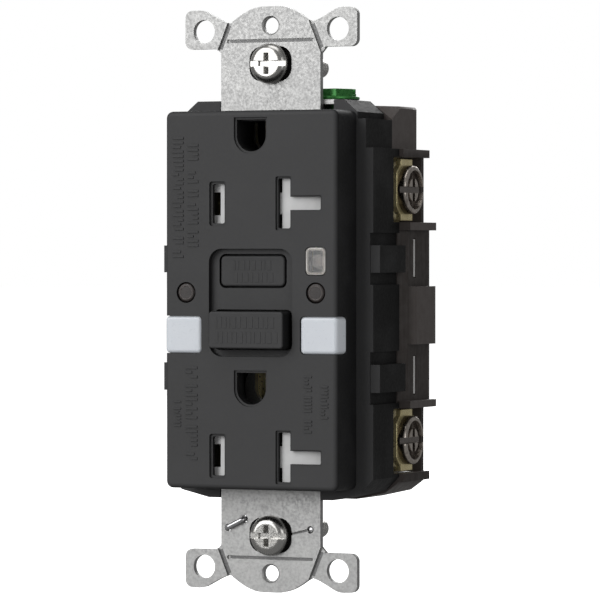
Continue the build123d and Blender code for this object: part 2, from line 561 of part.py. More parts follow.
# ---- outlets: shutters and contacts ------------------------------------------------------
def shutter(kind, z):
    """A sliding shutter under one slot: a framed door for the hot side, a wedge for the neutral side."""
    half = SHUTTER_HALF
    if kind == "hot":
        door = block(-8.5, -4.2, SHUTTER_Y0, SHUTTER_Y1, z - half, z + half)
        door -= block(-9, -6.4, SHUTTER_Y0 - 1, SHUTTER_Y0 + 0.5, z - 3.6, z + 3.6)
        return door - block(-8.0, -6.4, SHUTTER_Y0 - 1, SHUTTER_Y1 + 1, z - 2.0, z + 2.0)
    door = block(4.6, 13.7, SHUTTER_Y0 + 0.5, SHUTTER_Y1, z - half, z + half)
    foot_y = SHUTTER_Y0 + 0.5
    ridge = Polyline((4.6, foot_y), (13.7, foot_y), (9.2, SHUTTER_Y0), (5.0, SHUTTER_Y0), close=True)
    door += Pos(0, 0, z - half) * extrude(make_face(ridge), amount=2 * half)
    for low, high in ((1.9, half + 1), (-half - 1, -1.9)):  # the ramp's ends are cut back beside the blade
        door -= block(4, 5.5, SHUTTER_Y0 - 1, foot_y + 0.4, z + low, z + high)
    return door


def shutter_tray(z):
    """The frame that guides an outlet's shutters."""
    tray = block(-14.4, 14.4, -4.9, -3.9, z - 4.7, z + 5.3)
    tray += block(-14.4, 14.4, -7.3, -3.9, z + 4.55, z + 5.3)
    if z > 0:  # the lower outlet has the cover's own wall below its shutters
        tray += block(-14.4, 14.4, -7.3, -3.9, z - 5.3, z - 4.55)
    tray -= block(-8.2, -4.4, -6, -3, z - 4.0, z + 4.0)
    tray -= block(4.6, 13.6, -6, -3, z - 4.0, z + 4.0)
    return tray


def shutter_trays():
    return group(*[shutter_tray(z) for z in OUTLET_Z.values()])


def shutter_springs(z):
    """Zigzag wire springs that hold both shutters over their slots."""
    springs = []
    for x0, x1 in ((-14.2, -8.6), (-3.9, 4.5)):
        step = (x1 - x0 - 0.6) / 4
        lean = math.degrees(math.atan2(3.2, step))
        link = Rectangle(math.hypot(step, 3.2) + 0.4, 0.4)
        zigzag = Pos(x0 + 0.3 + step / 2, z) * Rot(0, 0, lean) * link
        for i in range(1, 4):
            zigzag += Pos(x0 + 0.3 + step * (i + 0.5), z) * Rot(0, 0, lean if i % 2 == 0 else -lean) * link
        springs.append(slab(zigzag, -6.3, -5.9))
    return group(*springs)


def blade_contact(s, z):
    """Two leaves that grip the upright blade, joined at the back."""
    inner = block(BLADE_X - 1.45, BLADE_X - 0.95, -3.7, BUS_Y1, z - 3.6, z + 3.6)
    outer = block(BLADE_X + 0.95, BLADE_X + 1.45, -3.7, BUS_Y1, z - 3.6, z + 3.6)
    foot = block(BLADE_X - 1.45, BLADE_X + 1.45, BUS_Y0, BUS_Y1, z - 3.6, z + 3.6)
    grip = inner + outer + foot
    if s > 0:  # the neutral side also takes a crosswise blade
        for dz in (-1.45, 0.95):
            grip += block(BLADE_X + 1.4, 12.4, -3.7, BUS_Y1, z + dz, z + dz + 0.5)
        grip += block(BLADE_X + 1.4, 12.4, BUS_Y0, BUS_Y1, z - 1.45, z + 1.45)
        grip -= block(BLADE_X + 0.9, BLADE_X + 1.5, -5, BUS_Y0, z - 0.95, z + 0.95)
    return grip if s > 0 else mirror(grip, about=Plane.YZ)


def bus(s):
    """Load-side stamping: both outlets' contacts, the load terminal plate and the fixed contact."""
    upper, lower = OUTLET_Z["upper"], OUTLET_Z["lower"]
    load = TERMINAL_Z["load"]
    rail = block(5.0, 7.4, BUS_Y0, BUS_Y1, lower - 3.6, upper + 3.6)
    arm = block(7.3, PLATE_X0 + PLATE_T, BUS_Y0, BUS_Y1, load - 3.6, load + 3.6)
    plate = terminal_plate("load")
    finger = block(7.3, 15.2, BUS_Y0, BUS_Y1, CONTACT_Z - 2.0, CONTACT_Z + 2.0)
    finger += block(14.4, 15.2, BUS_Y0, FIXED_Y, CONTACT_Z - 2.0, CONTACT_Z + 2.0)
    finger += block(9.6, 15.2, FIXED_Y - 0.8, FIXED_Y, CONTACT_Z - 2.0, CONTACT_Z + 2.0)
    finger += rod_y(11.0, CONTACT_Z, 1.3, FIXED_Y - 0.1, FIXED_Y + 0.4)
    piece = rail + arm + plate + finger
    piece = piece if s > 0 else mirror(piece, about=Plane.YZ)
    for z in (upper, lower):
        piece += blade_contact(s, z)
    return piece


def terminal_plate(kind):
    """The fixed brass plate in a terminal pocket, tapped for its screw (right-hand side)."""
    z = TERMINAL_Z[kind]
    plate = block(PLATE_X0, PLATE_X0 + PLATE_T, BUS_Y0, 20.4, z - 3.6, z + 3.6)
    plate += block(PLATE_X0, PLATE_X0 + PLATE_T, 10.6, 20.4, z - 6.2, z + 6.2)
    return plate - rod_x(TERMINAL_Y, z, SCREW_R + 0.03, 10, 20)


def line_terminal(s):
    """Line-side stamping: the terminal plate and a foot that ends at the conductor."""
    z = TERMINAL_Z["line"]
    foot = block(9.4, PLATE_X0 + PLATE_T, 3.2, 4.0, z + 0.2, z + 3.6) + block(
        PLATE_X0, PLATE_X0 + PLATE_T, 3.2, BUS_Y1, z + 0.2, z + 3.6
    )
    piece = terminal_plate("line") + foot
    return piece if s > 0 else mirror(piece, about=Plane.YZ)


def terminal_screw(s, kind):
    """Large combination-head screw, backed off three turns."""
    z = TERMINAL_Z[kind]
    x0 = CLAMP_X0 + CLAMP_T + 0.03
    head = Pos(x0, TERMINAL_Y, z) * Rot(0, 90, 0) * extrude(Circle(4.35), amount=1.6)
    head = fillet(head.edges().sort_by(Axis.X)[-1], 0.5)
    dish = Pos(x0 + 0.7, TERMINAL_Y, z) * Rot(0, 90, 0) * extrude(Circle(3.5) - Circle(2.1), amount=2.0)
    rim = Pos(x0 + 1.35, TERMINAL_Y, z) * Rot(0, 90, 0) * extrude(Circle(3.5), amount=1.0)
    head = head - dish - rim
    head -= block(x0 + 0.5, x0 + 3, TERMINAL_Y - 5, TERMINAL_Y + 5, z - 0.55, z + 0.55)
    head -= block(x0 + 0.5, x0 + 3, TERMINAL_Y - 0.55, TERMINAL_Y + 0.55, z - 3.4, z + 3.4)
    screw = head + rod_x(TERMINAL_Y, z, SCREW_R, 14.0, x0 + 0.2)
    return screw if s > 0 else mirror(screw, about=Plane.YZ)


def pressure_plate(s, kind):
    """Brass clamp plate under the screw head, with guide tabs above and below."""
    z = TERMINAL_Z[kind]
    outline = chamfer(Rectangle(9.0, 8.6).vertices(), 1.3) + Rectangle(5.2, 11.0)
    plate = side_slab(Pos(TERMINAL_Y, z) * outline, CLAMP_X0, CLAMP_X0 + CLAMP_T)
    plate -= rod_x(TERMINAL_Y, z, SCREW_R + 0.15, 15, 20)
    return plate if s > 0 else mirror(plate, about=Plane.YZ)


# ---- trip mechanism ----------------------------------------------------------------------
def carriage():
    """The lifter around the reset pin. Its wings sit under the contact arms."""
    body = block(-4.5, 4.5, LATCH_Y - 1.0, LATCH_Y + 2.6, RESET_Z - 5.0, RESET_Z + 4.0)
    body -= rod_y(0, RESET_Z, 1.35, 5, 30)
    wing = block(4.4, 12.4, ARM_Y + ARM_T + 0.12, LATCH_Y + 3.8, RESET_Z - 1.0, RESET_Z + 1.0)
    body += both_sides(wing) + block(-4.5, 4.5, LATCH_Y + 2.5, LATCH_Y + 3.8, RESET_Z - 1.0, RESET_Z + 1.0)
    body -= rod_y(0, RESET_Z, 1.35, 5, 30)
    return body - block(-3.1, 3.1, LATCH_Y - 0.06, LATCH_Y + 0.66, RESET_Z - 8, RESET_Z + 6)


def latch_plate():
    """Thin steel slide with a keyhole: wide while tripped, narrow once it has moved."""
    plate = block(-3.0, 3.0, LATCH_Y, LATCH_Y + 0.6, RESET_Z - 6.6, RESET_Z + 3.9)
    plate -= rod_y(0, RESET_Z, 1.15, 10, 20)
    return plate - block(-0.72, 0.72, 10, 20, RESET_Z, RESET_Z + 2.0)


PLUNGER_Y = 15.6
PLUNGER_TIP_Z = RESET_Z - 6.68


def plunger():
    """Solenoid core whose nose meets the latch plate."""
    nose = block(-1.4, 1.4, LATCH_Y - 1.8, LATCH_Y + 1.2, PLUNGER_TIP_Z - 2.4, PLUNGER_TIP_Z)
    disc = rod_z(0, PLUNGER_Y, 1.9, PLUNGER_TIP_Z - 3.0, PLUNGER_TIP_Z - 2.2)
    return nose + disc + rod_z(0, PLUNGER_Y, 1.5, -29.2, PLUNGER_TIP_Z - 2.2)


COIL_Z0, COIL_Z1 = -30.6, -17.4


def solenoid_bobbin():
    tube = rod_z(0, PLUNGER_Y, 2.1, COIL_Z0, COIL_Z1)
    for z in (COIL_Z0, COIL_Z1 - 0.7):
        tube += block(-4.8, 4.8, BOARD_Y1 + REST, PLUNGER_Y + 4.0, z, z + 0.7)
    return tube - rod_z(0, PLUNGER_Y, 1.6, COIL_Z0 - 1, COIL_Z1 + 1)


def solenoid_coil():
    coil_body = rod_z(0, PLUNGER_Y, 3.9, COIL_Z0 + 0.75, COIL_Z1 - 0.75)
    return coil_body - rod_z(0, PLUNGER_Y, 2.15, COIL_Z0 - 1, COIL_Z1 + 1)


def solenoid_yoke():
    """Steel U around the coil."""
    yoke = block(-6.2, 6.2, PLUNGER_Y - 3.9, PLUNGER_Y + 3.9, COIL_Z0 - 1.2, COIL_Z1 + 1.2)
    yoke -= block(-5.0, 5.0, 5, 30, COIL_Z0 - 0.05, COIL_Z1 + 0.05)
    return yoke - rod_z(0, PLUNGER_Y, 1.6, COIL_Z0 + 2, COIL_Z1 + 3)


def contact_arm(s):
    """Spring-brass arm with a silver contact, hinged at its root."""
    arm = block(9.6, 12.4, ARM_Y, ARM_Y + ARM_T, ARM_TIP_Z, ARM_ROOT_Z)
    arm += rod_x(ARM_Y + ARM_T / 2, ARM_ROOT_Z - 0.2, 0.3, 9.6, 12.4)
    arm += rod_y(11.0, CONTACT_Z, 1.3, ARM_Y - 0.4, ARM_Y + 0.1)
    return arm if s > 0 else mirror(arm, about=Plane.YZ)


def line_conductors():
    """Stiff wires from the line terminals, through both cores, to posts beside the contact arms."""
    wires = []
    for s in (-1, 1):
        path = FilletPolyline(
            (s * 9.4, 3.6, CORE_Z),
            (s * 1.6, 3.6, CORE_Z),
            (s * 1.6, 19.6, CORE_Z),
            (s * 8.6, 19.6, 14.5),
            (s * 8.6, 19.6, 10.8),
            (s * 11.0, 19.6, 10.8),
            (s * 11.0, ARM_Y + ARM_T + 0.1, 10.8),
            radius=0.85,
        )
        wires.append(sweep(Plane(origin=path @ 0, z_dir=path % 0) * Circle(0.7), path=path))
    return group(*wires)


def transformer_housing():
    """Plastic cup that holds both cores."""
    z = CORE_Z
    cup = rod_y(0, z, 8.6, BOARD_Y1 + REST, 18.6) - rod_y(0, z, 7.9, 11.9, 17.9)
    return cup + rod_y(0, z, 3.2, 11.2, 18.6) - rod_y(0, z, 2.6, 5, 25)


def transformer_cores():
    rings = []
    for y0 in (12.0, 15.1):
        ring = rod_y(0, CORE_Z, 7.7, y0, y0 + 2.7) - rod_y(0, CORE_Z, 3.4, y0 - 1, y0 + 4)
        rings.append(ring)
    return group(*rings)


def circuit_board():
    board = block(-9.7, 9.7, BOARD_Y0, BOARD_Y1, -31.5, 30.6)
    board += block(-13.9, 13.9, BOARD_Y0, BOARD_Y1, -17.0, 11.5)
    board -= rod_y(0, RESET_Z, 1.7, 5, 15)
    board -= rod_y(0, CORE_Z, 2.6, 5, 15)
    for z in OUTLET_Z.values():
        board -= slab(ground_shape(z + GROUND_UP, 0.6), 5, 15)
    return board


def board_chips():
    """Control chip, thyristor and small parts on the board."""
    y0 = BOARD_Y1 + REST
    chips = [block(-4.4, -0.4, y0, y0 + 1.6, 2.4, 7.4), block(0.2, 2.7, y0, y0 + 4.0, 2.8, 6.8)]
    for i in range(4):
        chips.append(block(-7.6 + 2.5 * i, -6.0 + 2.5 * i, y0, y0 + 0.8, 9.6, 10.6))
    return group(*chips)


def capacitor():
    body = rod_z(5.8, BOARD_Y1 + REST + 2.4, 2.4, -0.4, 9.0)
    return fillet(body.edges(), 0.4)


def varistor():
    disc = block(-8.6, -5.4, BOARD_Y1 + REST, 17.2, 1.4, 8.2)
    return fillet(disc.edges().filter_by(Axis.X), 1.6)


def test_contact():
    """Leaf that the test button presses; its end is on the separator."""
    leaf = block(-1.6, 1.6, 3.35, 3.65, -1.2, 8.6)
    return leaf + block(-1.6, 1.6, 3.35, TRAY_Y0, -1.5, -1.2)


def housing_screws():
    screws = []
    for x, z in BOSS_XZ:
        head = rod_y(x, z, 2.5, REAR_Y - 1.85, REAR_Y - 0.3)
        head -= block(x - 1.5, x + 1.5, REAR_Y - 0.9, REAR_Y, z - 0.3, z + 0.3)
        head -= block(x - 0.3, x + 0.3, REAR_Y - 0.9, REAR_Y, z - 1.5, z + 1.5)
        screws.append(head + rod_y(x, z, 1.1, BOSS_Y0 + 0.7, REAR_Y - 1.8))
    return group(*screws)


# ---- write every node --------------------------------------------------------------------
NODES = {
    "front_cover": front_cover,
    "mid_housing": mid_housing,
    "rear_cover": rear_cover,
    "housing_screws": housing_screws,
    "mounting_strap": mounting_strap,
    "strap_rivets": strap_rivets,
    "ground_contacts": ground_contacts,
    "ground_terminal": ground_terminal,
    "ground_screw": ground_screw,
    "box_screw_top": lambda: box_screw(1),
    "box_screw_bottom": lambda: box_screw(-1),
    "screw_retainers": screw_retainers,
    "ground_clip": ground_clip,
    "test_button": test_button,
    "test_spring": lambda: coil(0, -5.35, -STRAP_T - 0.05, TEST_Z, 1.9, 0.3, 4),
    "test_contact": test_contact,
    "reset_button": reset_button,
    "reset_pin": reset_pin,
    "reset_spring": lambda: coil(0, -5.35, -STRAP_T - 0.05, RESET_Z, 2.3, 0.3, 3.5),
    "status_lenses": status_lenses,
    "sensor_window": sensor_window,
    "night_light_lenses": night_light_lenses,
    "lamp_boards": lamp_boards,
    "lamps": lamps,
    "shutter_trays": shutter_trays,
    "hot_bus": lambda: bus(-1),
    "neutral_bus": lambda: bus(1),
    "line_hot_terminal": lambda: line_terminal(-1),
    "line_neutral_terminal": lambda: line_terminal(1),
    "line_conductors": line_conductors,
    "transformer_housing": transformer_housing,
    "transformer_cores": transformer_cores,
    "circuit_board": circuit_board,
    "board_chips": board_chips,
    "capacitor": capacitor,
    "varistor": varistor,
    "carriage": carriage,
    "latch_plate": latch_plate,
    "plunger": plunger,
    "solenoid_bobbin": solenoid_bobbin,
    "solenoid_coil": solenoid_coil,
    "solenoid_yoke": solenoid_yoke,
    "contact_arm_hot": lambda: contact_arm(-1),
    "contact_arm_neutral": lambda: contact_arm(1),
}
for outlet, height in OUTLET_Z.items():
    for kind in SIDES:
        NODES[f"{kind}_shutter_{outlet}"] = lambda kind=kind, height=height: shutter(kind, height)
    NODES[f"shutter_springs_{outlet}"] = lambda height=height: shutter_springs(height)
for kind, side in SIDES.items():
    for feed in TERMINAL_Z:
        NODES[f"terminal_screw_{feed}_{kind}"] = lambda s=side, feed=feed: terminal_screw(s, feed)
        NODES[f"pressure_plate_{feed}_{kind}"] = lambda s=side, feed=feed: pressure_plate(s, feed)

os.makedirs("parts", exist_ok=True)
for name, make in NODES.items():
    export_step(make(), f"parts/{name}.step")
print(len(NODES), "nodes")
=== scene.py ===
import json
import math
import random

import bmesh
import bpy
from mathutils import Matrix, Vector


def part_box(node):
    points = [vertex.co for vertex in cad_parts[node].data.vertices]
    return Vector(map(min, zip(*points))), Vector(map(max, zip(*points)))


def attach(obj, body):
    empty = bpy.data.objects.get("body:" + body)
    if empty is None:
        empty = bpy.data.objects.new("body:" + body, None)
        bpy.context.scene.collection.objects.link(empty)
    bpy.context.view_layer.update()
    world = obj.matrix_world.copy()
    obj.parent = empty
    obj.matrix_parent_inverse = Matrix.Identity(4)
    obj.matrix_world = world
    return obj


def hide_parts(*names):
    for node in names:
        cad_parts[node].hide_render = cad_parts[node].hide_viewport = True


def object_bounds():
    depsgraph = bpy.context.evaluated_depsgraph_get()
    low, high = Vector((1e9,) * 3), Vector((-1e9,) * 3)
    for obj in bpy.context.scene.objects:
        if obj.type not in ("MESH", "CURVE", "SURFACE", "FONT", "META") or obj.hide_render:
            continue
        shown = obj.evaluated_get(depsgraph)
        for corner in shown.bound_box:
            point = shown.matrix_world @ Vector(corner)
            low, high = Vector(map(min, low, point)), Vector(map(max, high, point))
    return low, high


# Looks for the ground-fault outlet. The CAD nodes keep their shapes and get softened edges and
# procedural materials; threads, windings, lamps and the raised marks are modelled here.
# Everything is in metres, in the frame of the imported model: +Z up, the face looks along -Y.
# Lengths in the piece builders are in millimetres, and the helpers turn them into metres.

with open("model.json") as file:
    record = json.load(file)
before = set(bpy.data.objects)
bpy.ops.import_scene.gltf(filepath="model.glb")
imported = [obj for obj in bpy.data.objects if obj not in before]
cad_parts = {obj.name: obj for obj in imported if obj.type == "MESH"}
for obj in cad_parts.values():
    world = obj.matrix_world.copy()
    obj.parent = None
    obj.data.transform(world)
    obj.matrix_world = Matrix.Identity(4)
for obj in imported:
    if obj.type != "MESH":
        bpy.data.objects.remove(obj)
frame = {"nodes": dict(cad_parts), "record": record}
CAD_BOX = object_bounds()
MM = 0.001


# ---- camera, lights and stage ------------------------------------------------------------
LOOK_AT = Vector((0.0, 0.005, 0.0))
CAMERA_AZIMUTH, CAMERA_ELEVATION = math.radians(24.63), math.radians(0.66)
CAMERA_DISTANCE = 0.7337
CAMERA_LENS, SENSOR_WIDTH = 247.2, 36.0
CLIP_NEAR, CLIP_FAR = 0.05, 50.0
AIM_RIGHT, AIM_DOWN = 2.65 * MM, 0.12 * MM
# name, azimuth and elevation in degrees, distance, width and height in metres, power in watts
SOFTBOXES = [
    ("key", -30, 22, 1.3, (0.9, 1.1), 12),
    ("fill", 60, 5, 1.5, (0.8, 1.0), 4),
    ("top", 10, 80, 1.2, (0.8, 0.8), 4),
    ("back", 190, 25, 1.5, (0.8, 0.8), 8),
]
WHITE = (1, 1, 1, 1)
SEEN_STRENGTH, ROOM_STRENGTH = 1.0, 0.25  # the world as the camera sees it, and as a light
FLOOR_RADIUS, FLOOR_DROP, FLOOR_GLOW = 9.0, 0.025, 0.8


def toward(azimuth, elevation):
    """Unit vector from the object to a viewer at that azimuth and elevation."""
    flat = math.cos(elevation)
    return Vector((math.sin(azimuth) * flat, -math.cos(azimuth) * flat, math.sin(elevation)))


def link(name, data):
    """A new object in the scene."""
    made = bpy.data.objects.new(name, data)
    bpy.context.scene.collection.objects.link(made)
    return made


def add_camera():
    """The photograph's view: a long lens from the right of the face."""
    data = bpy.data.cameras.new("camera")
    data.lens, data.sensor_width = CAMERA_LENS, SENSOR_WIDTH
    data.clip_start, data.clip_end = CLIP_NEAR, CLIP_FAR
    camera = link("camera", data)
    camera.location = LOOK_AT + CAMERA_DISTANCE * toward(CAMERA_AZIMUTH, CAMERA_ELEVATION)
    right = Vector((math.cos(CAMERA_AZIMUTH), math.sin(CAMERA_AZIMUTH), 0))
    aim = LOOK_AT + AIM_RIGHT * right - Vector((0, 0, AIM_DOWN))
    camera.rotation_euler = (aim - camera.location).to_track_quat("-Z", "Y").to_euler()
    bpy.context.scene.camera = camera


def add_softbox(name, azimuth, elevation, distance, size, power):
    """A rectangular lamp that faces the object."""
    data = bpy.data.lights.new(name, "AREA")
    data.shape = "RECTANGLE"
    data.size, data.size_y = size
    data.energy = power
    lamp = link(name, data)
    lamp.location = distance * toward(math.radians(azimuth), math.radians(elevation))
    lamp.rotation_euler = (-lamp.location).to_track_quat("-Z", "Y").to_euler()


def add_world():
    """White to the camera and dim to everything else, so the backdrop doesn't wash the object out."""
    world = bpy.data.worlds.new("studio")
    bpy.context.scene.world = world
    world.use_nodes = True
    tree = world.node_tree
    tree.nodes.clear()
    out = tree.nodes.new("ShaderNodeOutputWorld")
    mix = tree.nodes.new("ShaderNodeMixShader")
    path = tree.nodes.new("ShaderNodeLightPath")
    tree.links.new(path.outputs["Is Camera Ray"], mix.inputs[0])
    for socket, strength in ((1, ROOM_STRENGTH), (2, SEEN_STRENGTH)):
        background = tree.nodes.new("ShaderNodeBackground")
        background.inputs["Color"].default_value = WHITE
        background.inputs["Strength"].default_value = strength
        tree.links.new(background.outputs[0], mix.inputs[socket])
    tree.links.new(mix.outputs[0], out.inputs["Surface"])


def add_floor():
    """A pale disc below the object, part of the stage only."""
    bm = bmesh.new()
    bmesh.ops.create_circle(bm, cap_ends=True, segments=96, radius=FLOOR_RADIUS)
    mesh = bpy.data.meshes.new("floor")
    bm.to_mesh(mesh)
    bm.free()
    floor = link("floor", mesh)
    floor.location = (0, 0, CAD_BOX[0][2] - FLOOR_DROP)
    surface = bpy.data.materials.new("pale_floor")
    surface.use_nodes = True
    shader = surface.node_tree.nodes["Principled BSDF"]
    shader.inputs["Base Color"].default_value = (0.95, 0.95, 0.95, 1)
    shader.inputs["Roughness"].default_value = 0.9
    shader.inputs["Emission Color"].default_value = WHITE
    shader.inputs["Emission Strength"].default_value = FLOOR_GLOW
    mesh.materials.append(surface)
    floor.visible_glossy = False
    floor.visible_diffuse = False


# ---- material helpers --------------------------------------------------------------------
class Paint:
    """A node material built up from a principled shader, in the object's own coordinates."""

    def __init__(self, name, color, roughness, metallic=0.0, specular=0.5):
        self.material = bpy.data.materials.new(name)
        self.material.use_nodes = True
        self.tree = self.material.node_tree
        self.shader = self.tree.nodes["Principled BSDF"]
        self.color = (*color, 1.0)
        self.set("Base Color", self.color)
        self.set("Roughness", roughness)
        self.set("Metallic", metallic)
        self.set("Specular IOR Level", specular)
        self.place = self.tree.nodes.new("ShaderNodeTexCoord").outputs["Object"]
        self.bump_out = None

    def set(self, socket, value):
        """A constant on the shader's own socket."""
        self.shader.inputs[socket].default_value = value

    def node(self, kind, inputs=(), **settings):
        """A new node with its settings, and with each input linked or given a value."""
        made = self.tree.nodes.new(kind)
        for key, value in settings.items():
            setattr(made, key, value)
        for key, value in dict(inputs).items():
            if isinstance(value, bpy.types.NodeSocket):
                self.tree.links.new(value, made.inputs[key])
            else:
                made.inputs[key].default_value = value
        return made

    def stretch(self, x, y, z):
        """The object coordinates scaled by that much along each axis."""
        return self.node("ShaderNodeMapping", {"Vector": self.place, "Scale": (x, y, z)}).outputs[0]

    def speckle(self, size, detail=3.0, rough=0.55, where=None):
        """Noise whose features are about that many metres across."""
        where = where or self.place
        made = self.node("ShaderNodeTexNoise", {"Vector": where, "Scale": 1 / size, "Detail": detail})
        made.inputs["Roughness"].default_value = rough
        return made.outputs["Fac"]

    def fit(self, value, low, high, new_low, new_high):
        """A value mapped from one range to another, and held inside it."""
        keys = {"Value": value, "From Min": low, "From Max": high, "To Min": new_low, "To Max": new_high}
        return self.node("ShaderNodeMapRange", keys, clamp=True).outputs["Result"]

    def tint(self, factor, color):
        """Blend the base colour towards another where factor is 1."""
        mix = self.node("ShaderNodeMix", data_type="RGBA")
        self.tree.links.new(factor, mix.inputs["Factor"])
        source = self.shader.inputs["Base Color"]
        if source.is_linked:
            self.tree.links.new(source.links[0].from_socket, mix.inputs["A"])
        else:
            mix.inputs["A"].default_value = self.color
        mix.inputs["B"].default_value = (*color, 1.0)
        self.tree.links.new(mix.outputs["Result"], source)

    def vary(self, socket, value, low, high, new_low, new_high):
        """Drive one of the shader's sockets with a mapped value."""
        self.tree.links.new(self.fit(value, low, high, new_low, new_high), self.shader.inputs[socket])

    def bump(self, height, depth, strength=1.0):
        """Relief of that depth in metres, on top of any already there."""
        made = self.node("ShaderNodeBump", {"Height": height, "Distance": depth, "Strength": strength})
        if self.bump_out:
            self.tree.links.new(self.bump_out, made.inputs["Normal"])
        self.bump_out = made.outputs["Normal"]
        self.tree.links.new(self.bump_out, self.shader.inputs["Normal"])

    def axis(self, name, vector=None):
        """One coordinate of the place on the object, or of another vector."""
        return self.node("ShaderNodeSeparateXYZ", {0: vector or self.place}).outputs["XYZ".index(name)]

    def normal(self, name):
        """One coordinate of the surface's own normal."""
        return self.axis(name, self.node("ShaderNodeTexCoord").outputs["Normal"])

    def facing(self, axis, low, high):
        """0 to 1 as the surface's own normal turns towards an axis of the object."""
        return self.fit(self.normal(axis), low, high, 0.0, 1.0)

    def absolute(self, value):
        """A value without its sign."""
        return self.node("ShaderNodeMath", {0: value}, operation="ABSOLUTE").outputs[0]

    def times(self, a, b):
        """The product of two values."""
        return self.node("ShaderNodeMath", {0: a, 1: b}, operation="MULTIPLY").outputs[0]

    def height(self, axis, low, high):
        """0 to 1 between two places along an axis of the object."""
        return self.fit(self.axis(axis), low, high, 0.0, 1.0)

    def mottle(self, color, share, size, detail=3.0, low=0.4, high=0.7):
        """Patches of about that size that go that share of the way to another colour."""
        self.tint(self.fit(self.speckle(size, detail), low, high, 0.0, share), color)

    def gloss(self, smoothest, roughest, size, detail=3.0):
        """Roughness that wanders between two values."""
        self.vary("Roughness", self.speckle(size, detail), 0.3, 0.7, smoothest, roughest)

    def grain(self, depth, strength, size, detail=3.0):
        """Fine relief with features of about that size."""
        self.bump(self.speckle(size, detail), depth, strength)


# ---- one function per finish -------------------------------------------------------------
def face_plastic():
    """Textured dark grey plastic, with painted light and shade: lighter where it faces the front, blacker on
    the sides and towards the back.
    """
    paint = Paint("face_plastic", (0.014, 0.014, 0.0145), 0.6, specular=0.15)
    # painted shade: surfaces behind y = -0.4 mm are darkened
    paint.tint(paint.height("Y", -1.3 * MM, -0.4 * MM), (0.0065, 0.0065, 0.0065))
    # painted light: surfaces that face the front are made several times lighter than the sides
    front = paint.facing("Y", -0.35, -0.92)
    paint.tint(front, (0.057, 0.057, 0.058))
    blotch = paint.speckle(9 * MM, 2)
    paint.tint(paint.fit(blotch, 0.45, 0.75, 0, 0.18), (0.075, 0.075, 0.077))
    grain = paint.speckle(0.16 * MM, 4, 0.6)
    paint.gloss(0.52, 0.66, 0.6 * MM)
    paint.bump(grain, 0.012 * MM, 0.5)
    paint.bump(blotch, 0.05 * MM, 0.2)
    return paint.material


def rear_plastic():
    """Warm dark brown-grey, satin, with faint flow lines along Z, and painted shade on the recessed,
    sideways-facing faces below the cap.
    """
    paint = Paint("rear_plastic", (0.088, 0.076, 0.071), 0.5, specular=0.2)
    flow = paint.speckle(0.35 * MM, 3, 0.5, paint.stretch(1, 1, 0.05))
    # painted shade: sideways-facing faces set back inside |x| = 20.9 mm, below the cap, are darkened
    recessed = paint.fit(paint.absolute(paint.axis("X")), 21.7 * MM, 20.9 * MM, 0, 1)
    sideways = paint.fit(paint.absolute(paint.normal("X")), 0.4, 0.8, 0, 1)
    below_cap = paint.height("Z", 27.0 * MM, 25.6 * MM)
    paint.tint(paint.times(paint.times(recessed, sideways), below_cap), (0.026, 0.02, 0.017))
    paint.tint(paint.fit(flow, 0.4, 0.75, 0, 0.4), (0.075, 0.064, 0.06))
    paint.gloss(0.38, 0.54, 1.5 * MM)
    paint.bump(flow, 0.02 * MM, 0.35)
    paint.grain(0.008 * MM, 0.4, 0.2 * MM, 3)
    return paint.material


def inner_plastic():
    """Plain dark grey plastic of the parts inside."""
    paint = Paint("inner_plastic", (0.09, 0.09, 0.095), 0.5, specular=0.4)
    paint.mottle((0.13, 0.13, 0.135), 0.3, 4 * MM, 2)
    paint.gloss(0.42, 0.58, 0.8 * MM)
    paint.grain(0.01 * MM, 0.4, 0.2 * MM)
    return paint.material


def shutter_plastic():
    """Light grey, with painted shade that turns it black behind the shutters' front faces."""
    paint = Paint("shutter_plastic", (0.62, 0.62, 0.62), 0.38, specular=0.5)
    paint.mottle((0.56, 0.56, 0.56), 0.4, 1.2 * MM, 3)
    # painted shade: everything deeper than y = -7.55 mm is nearly black
    paint.tint(paint.height("Y", -7.75 * MM, -7.55 * MM), (0.02, 0.02, 0.02))
    paint.gloss(0.32, 0.46, 0.5 * MM)
    paint.grain(0.01 * MM, 0.4, 0.25 * MM)
    return paint.material


def white_lens():
    """Milky plastic, faintly lit from behind."""
    paint = Paint("white_lens", (0.58, 0.61, 0.65), 0.3, specular=0.5)
    paint.set("Emission Color", (0.93, 0.96, 1.0, 1.0))
    paint.set("Emission Strength", 0.09)
    paint.set("Subsurface Weight", 0.35)
    paint.set("Subsurface Radius", (1.0, 1.0, 1.0))
    paint.set("Subsurface Scale", 0.0012)
    paint.mottle((0.53, 0.56, 0.61), 0.3, 3 * MM, 2)
    paint.gloss(0.26, 0.36, 0.7 * MM)
    paint.grain(0.006 * MM, 0.2, 0.9 * MM, 1)
    return paint.material


def clear_lens():
    """Clear plastic with a slight smoky tint."""
    paint = Paint("clear_lens", (0.5, 0.46, 0.42), 0.06, specular=0.5)
    paint.set("Transmission Weight", 1.0)
    paint.set("IOR", 1.49)
    paint.gloss(0.03, 0.1, 1.0 * MM)
    paint.grain(0.01 * MM, 0.25, 0.8 * MM, 1)
    return paint.material


def status_lens():
    """Dark smoked plastic."""
    paint = Paint("status_lens", (0.018, 0.014, 0.013), 0.32, specular=0.35)
    paint.mottle((0.03, 0.022, 0.02), 0.6, 1.1 * MM, 3)
    paint.gloss(0.22, 0.4, 0.4 * MM)
    paint.grain(0.01 * MM, 0.4, 0.3 * MM)
    return paint.material


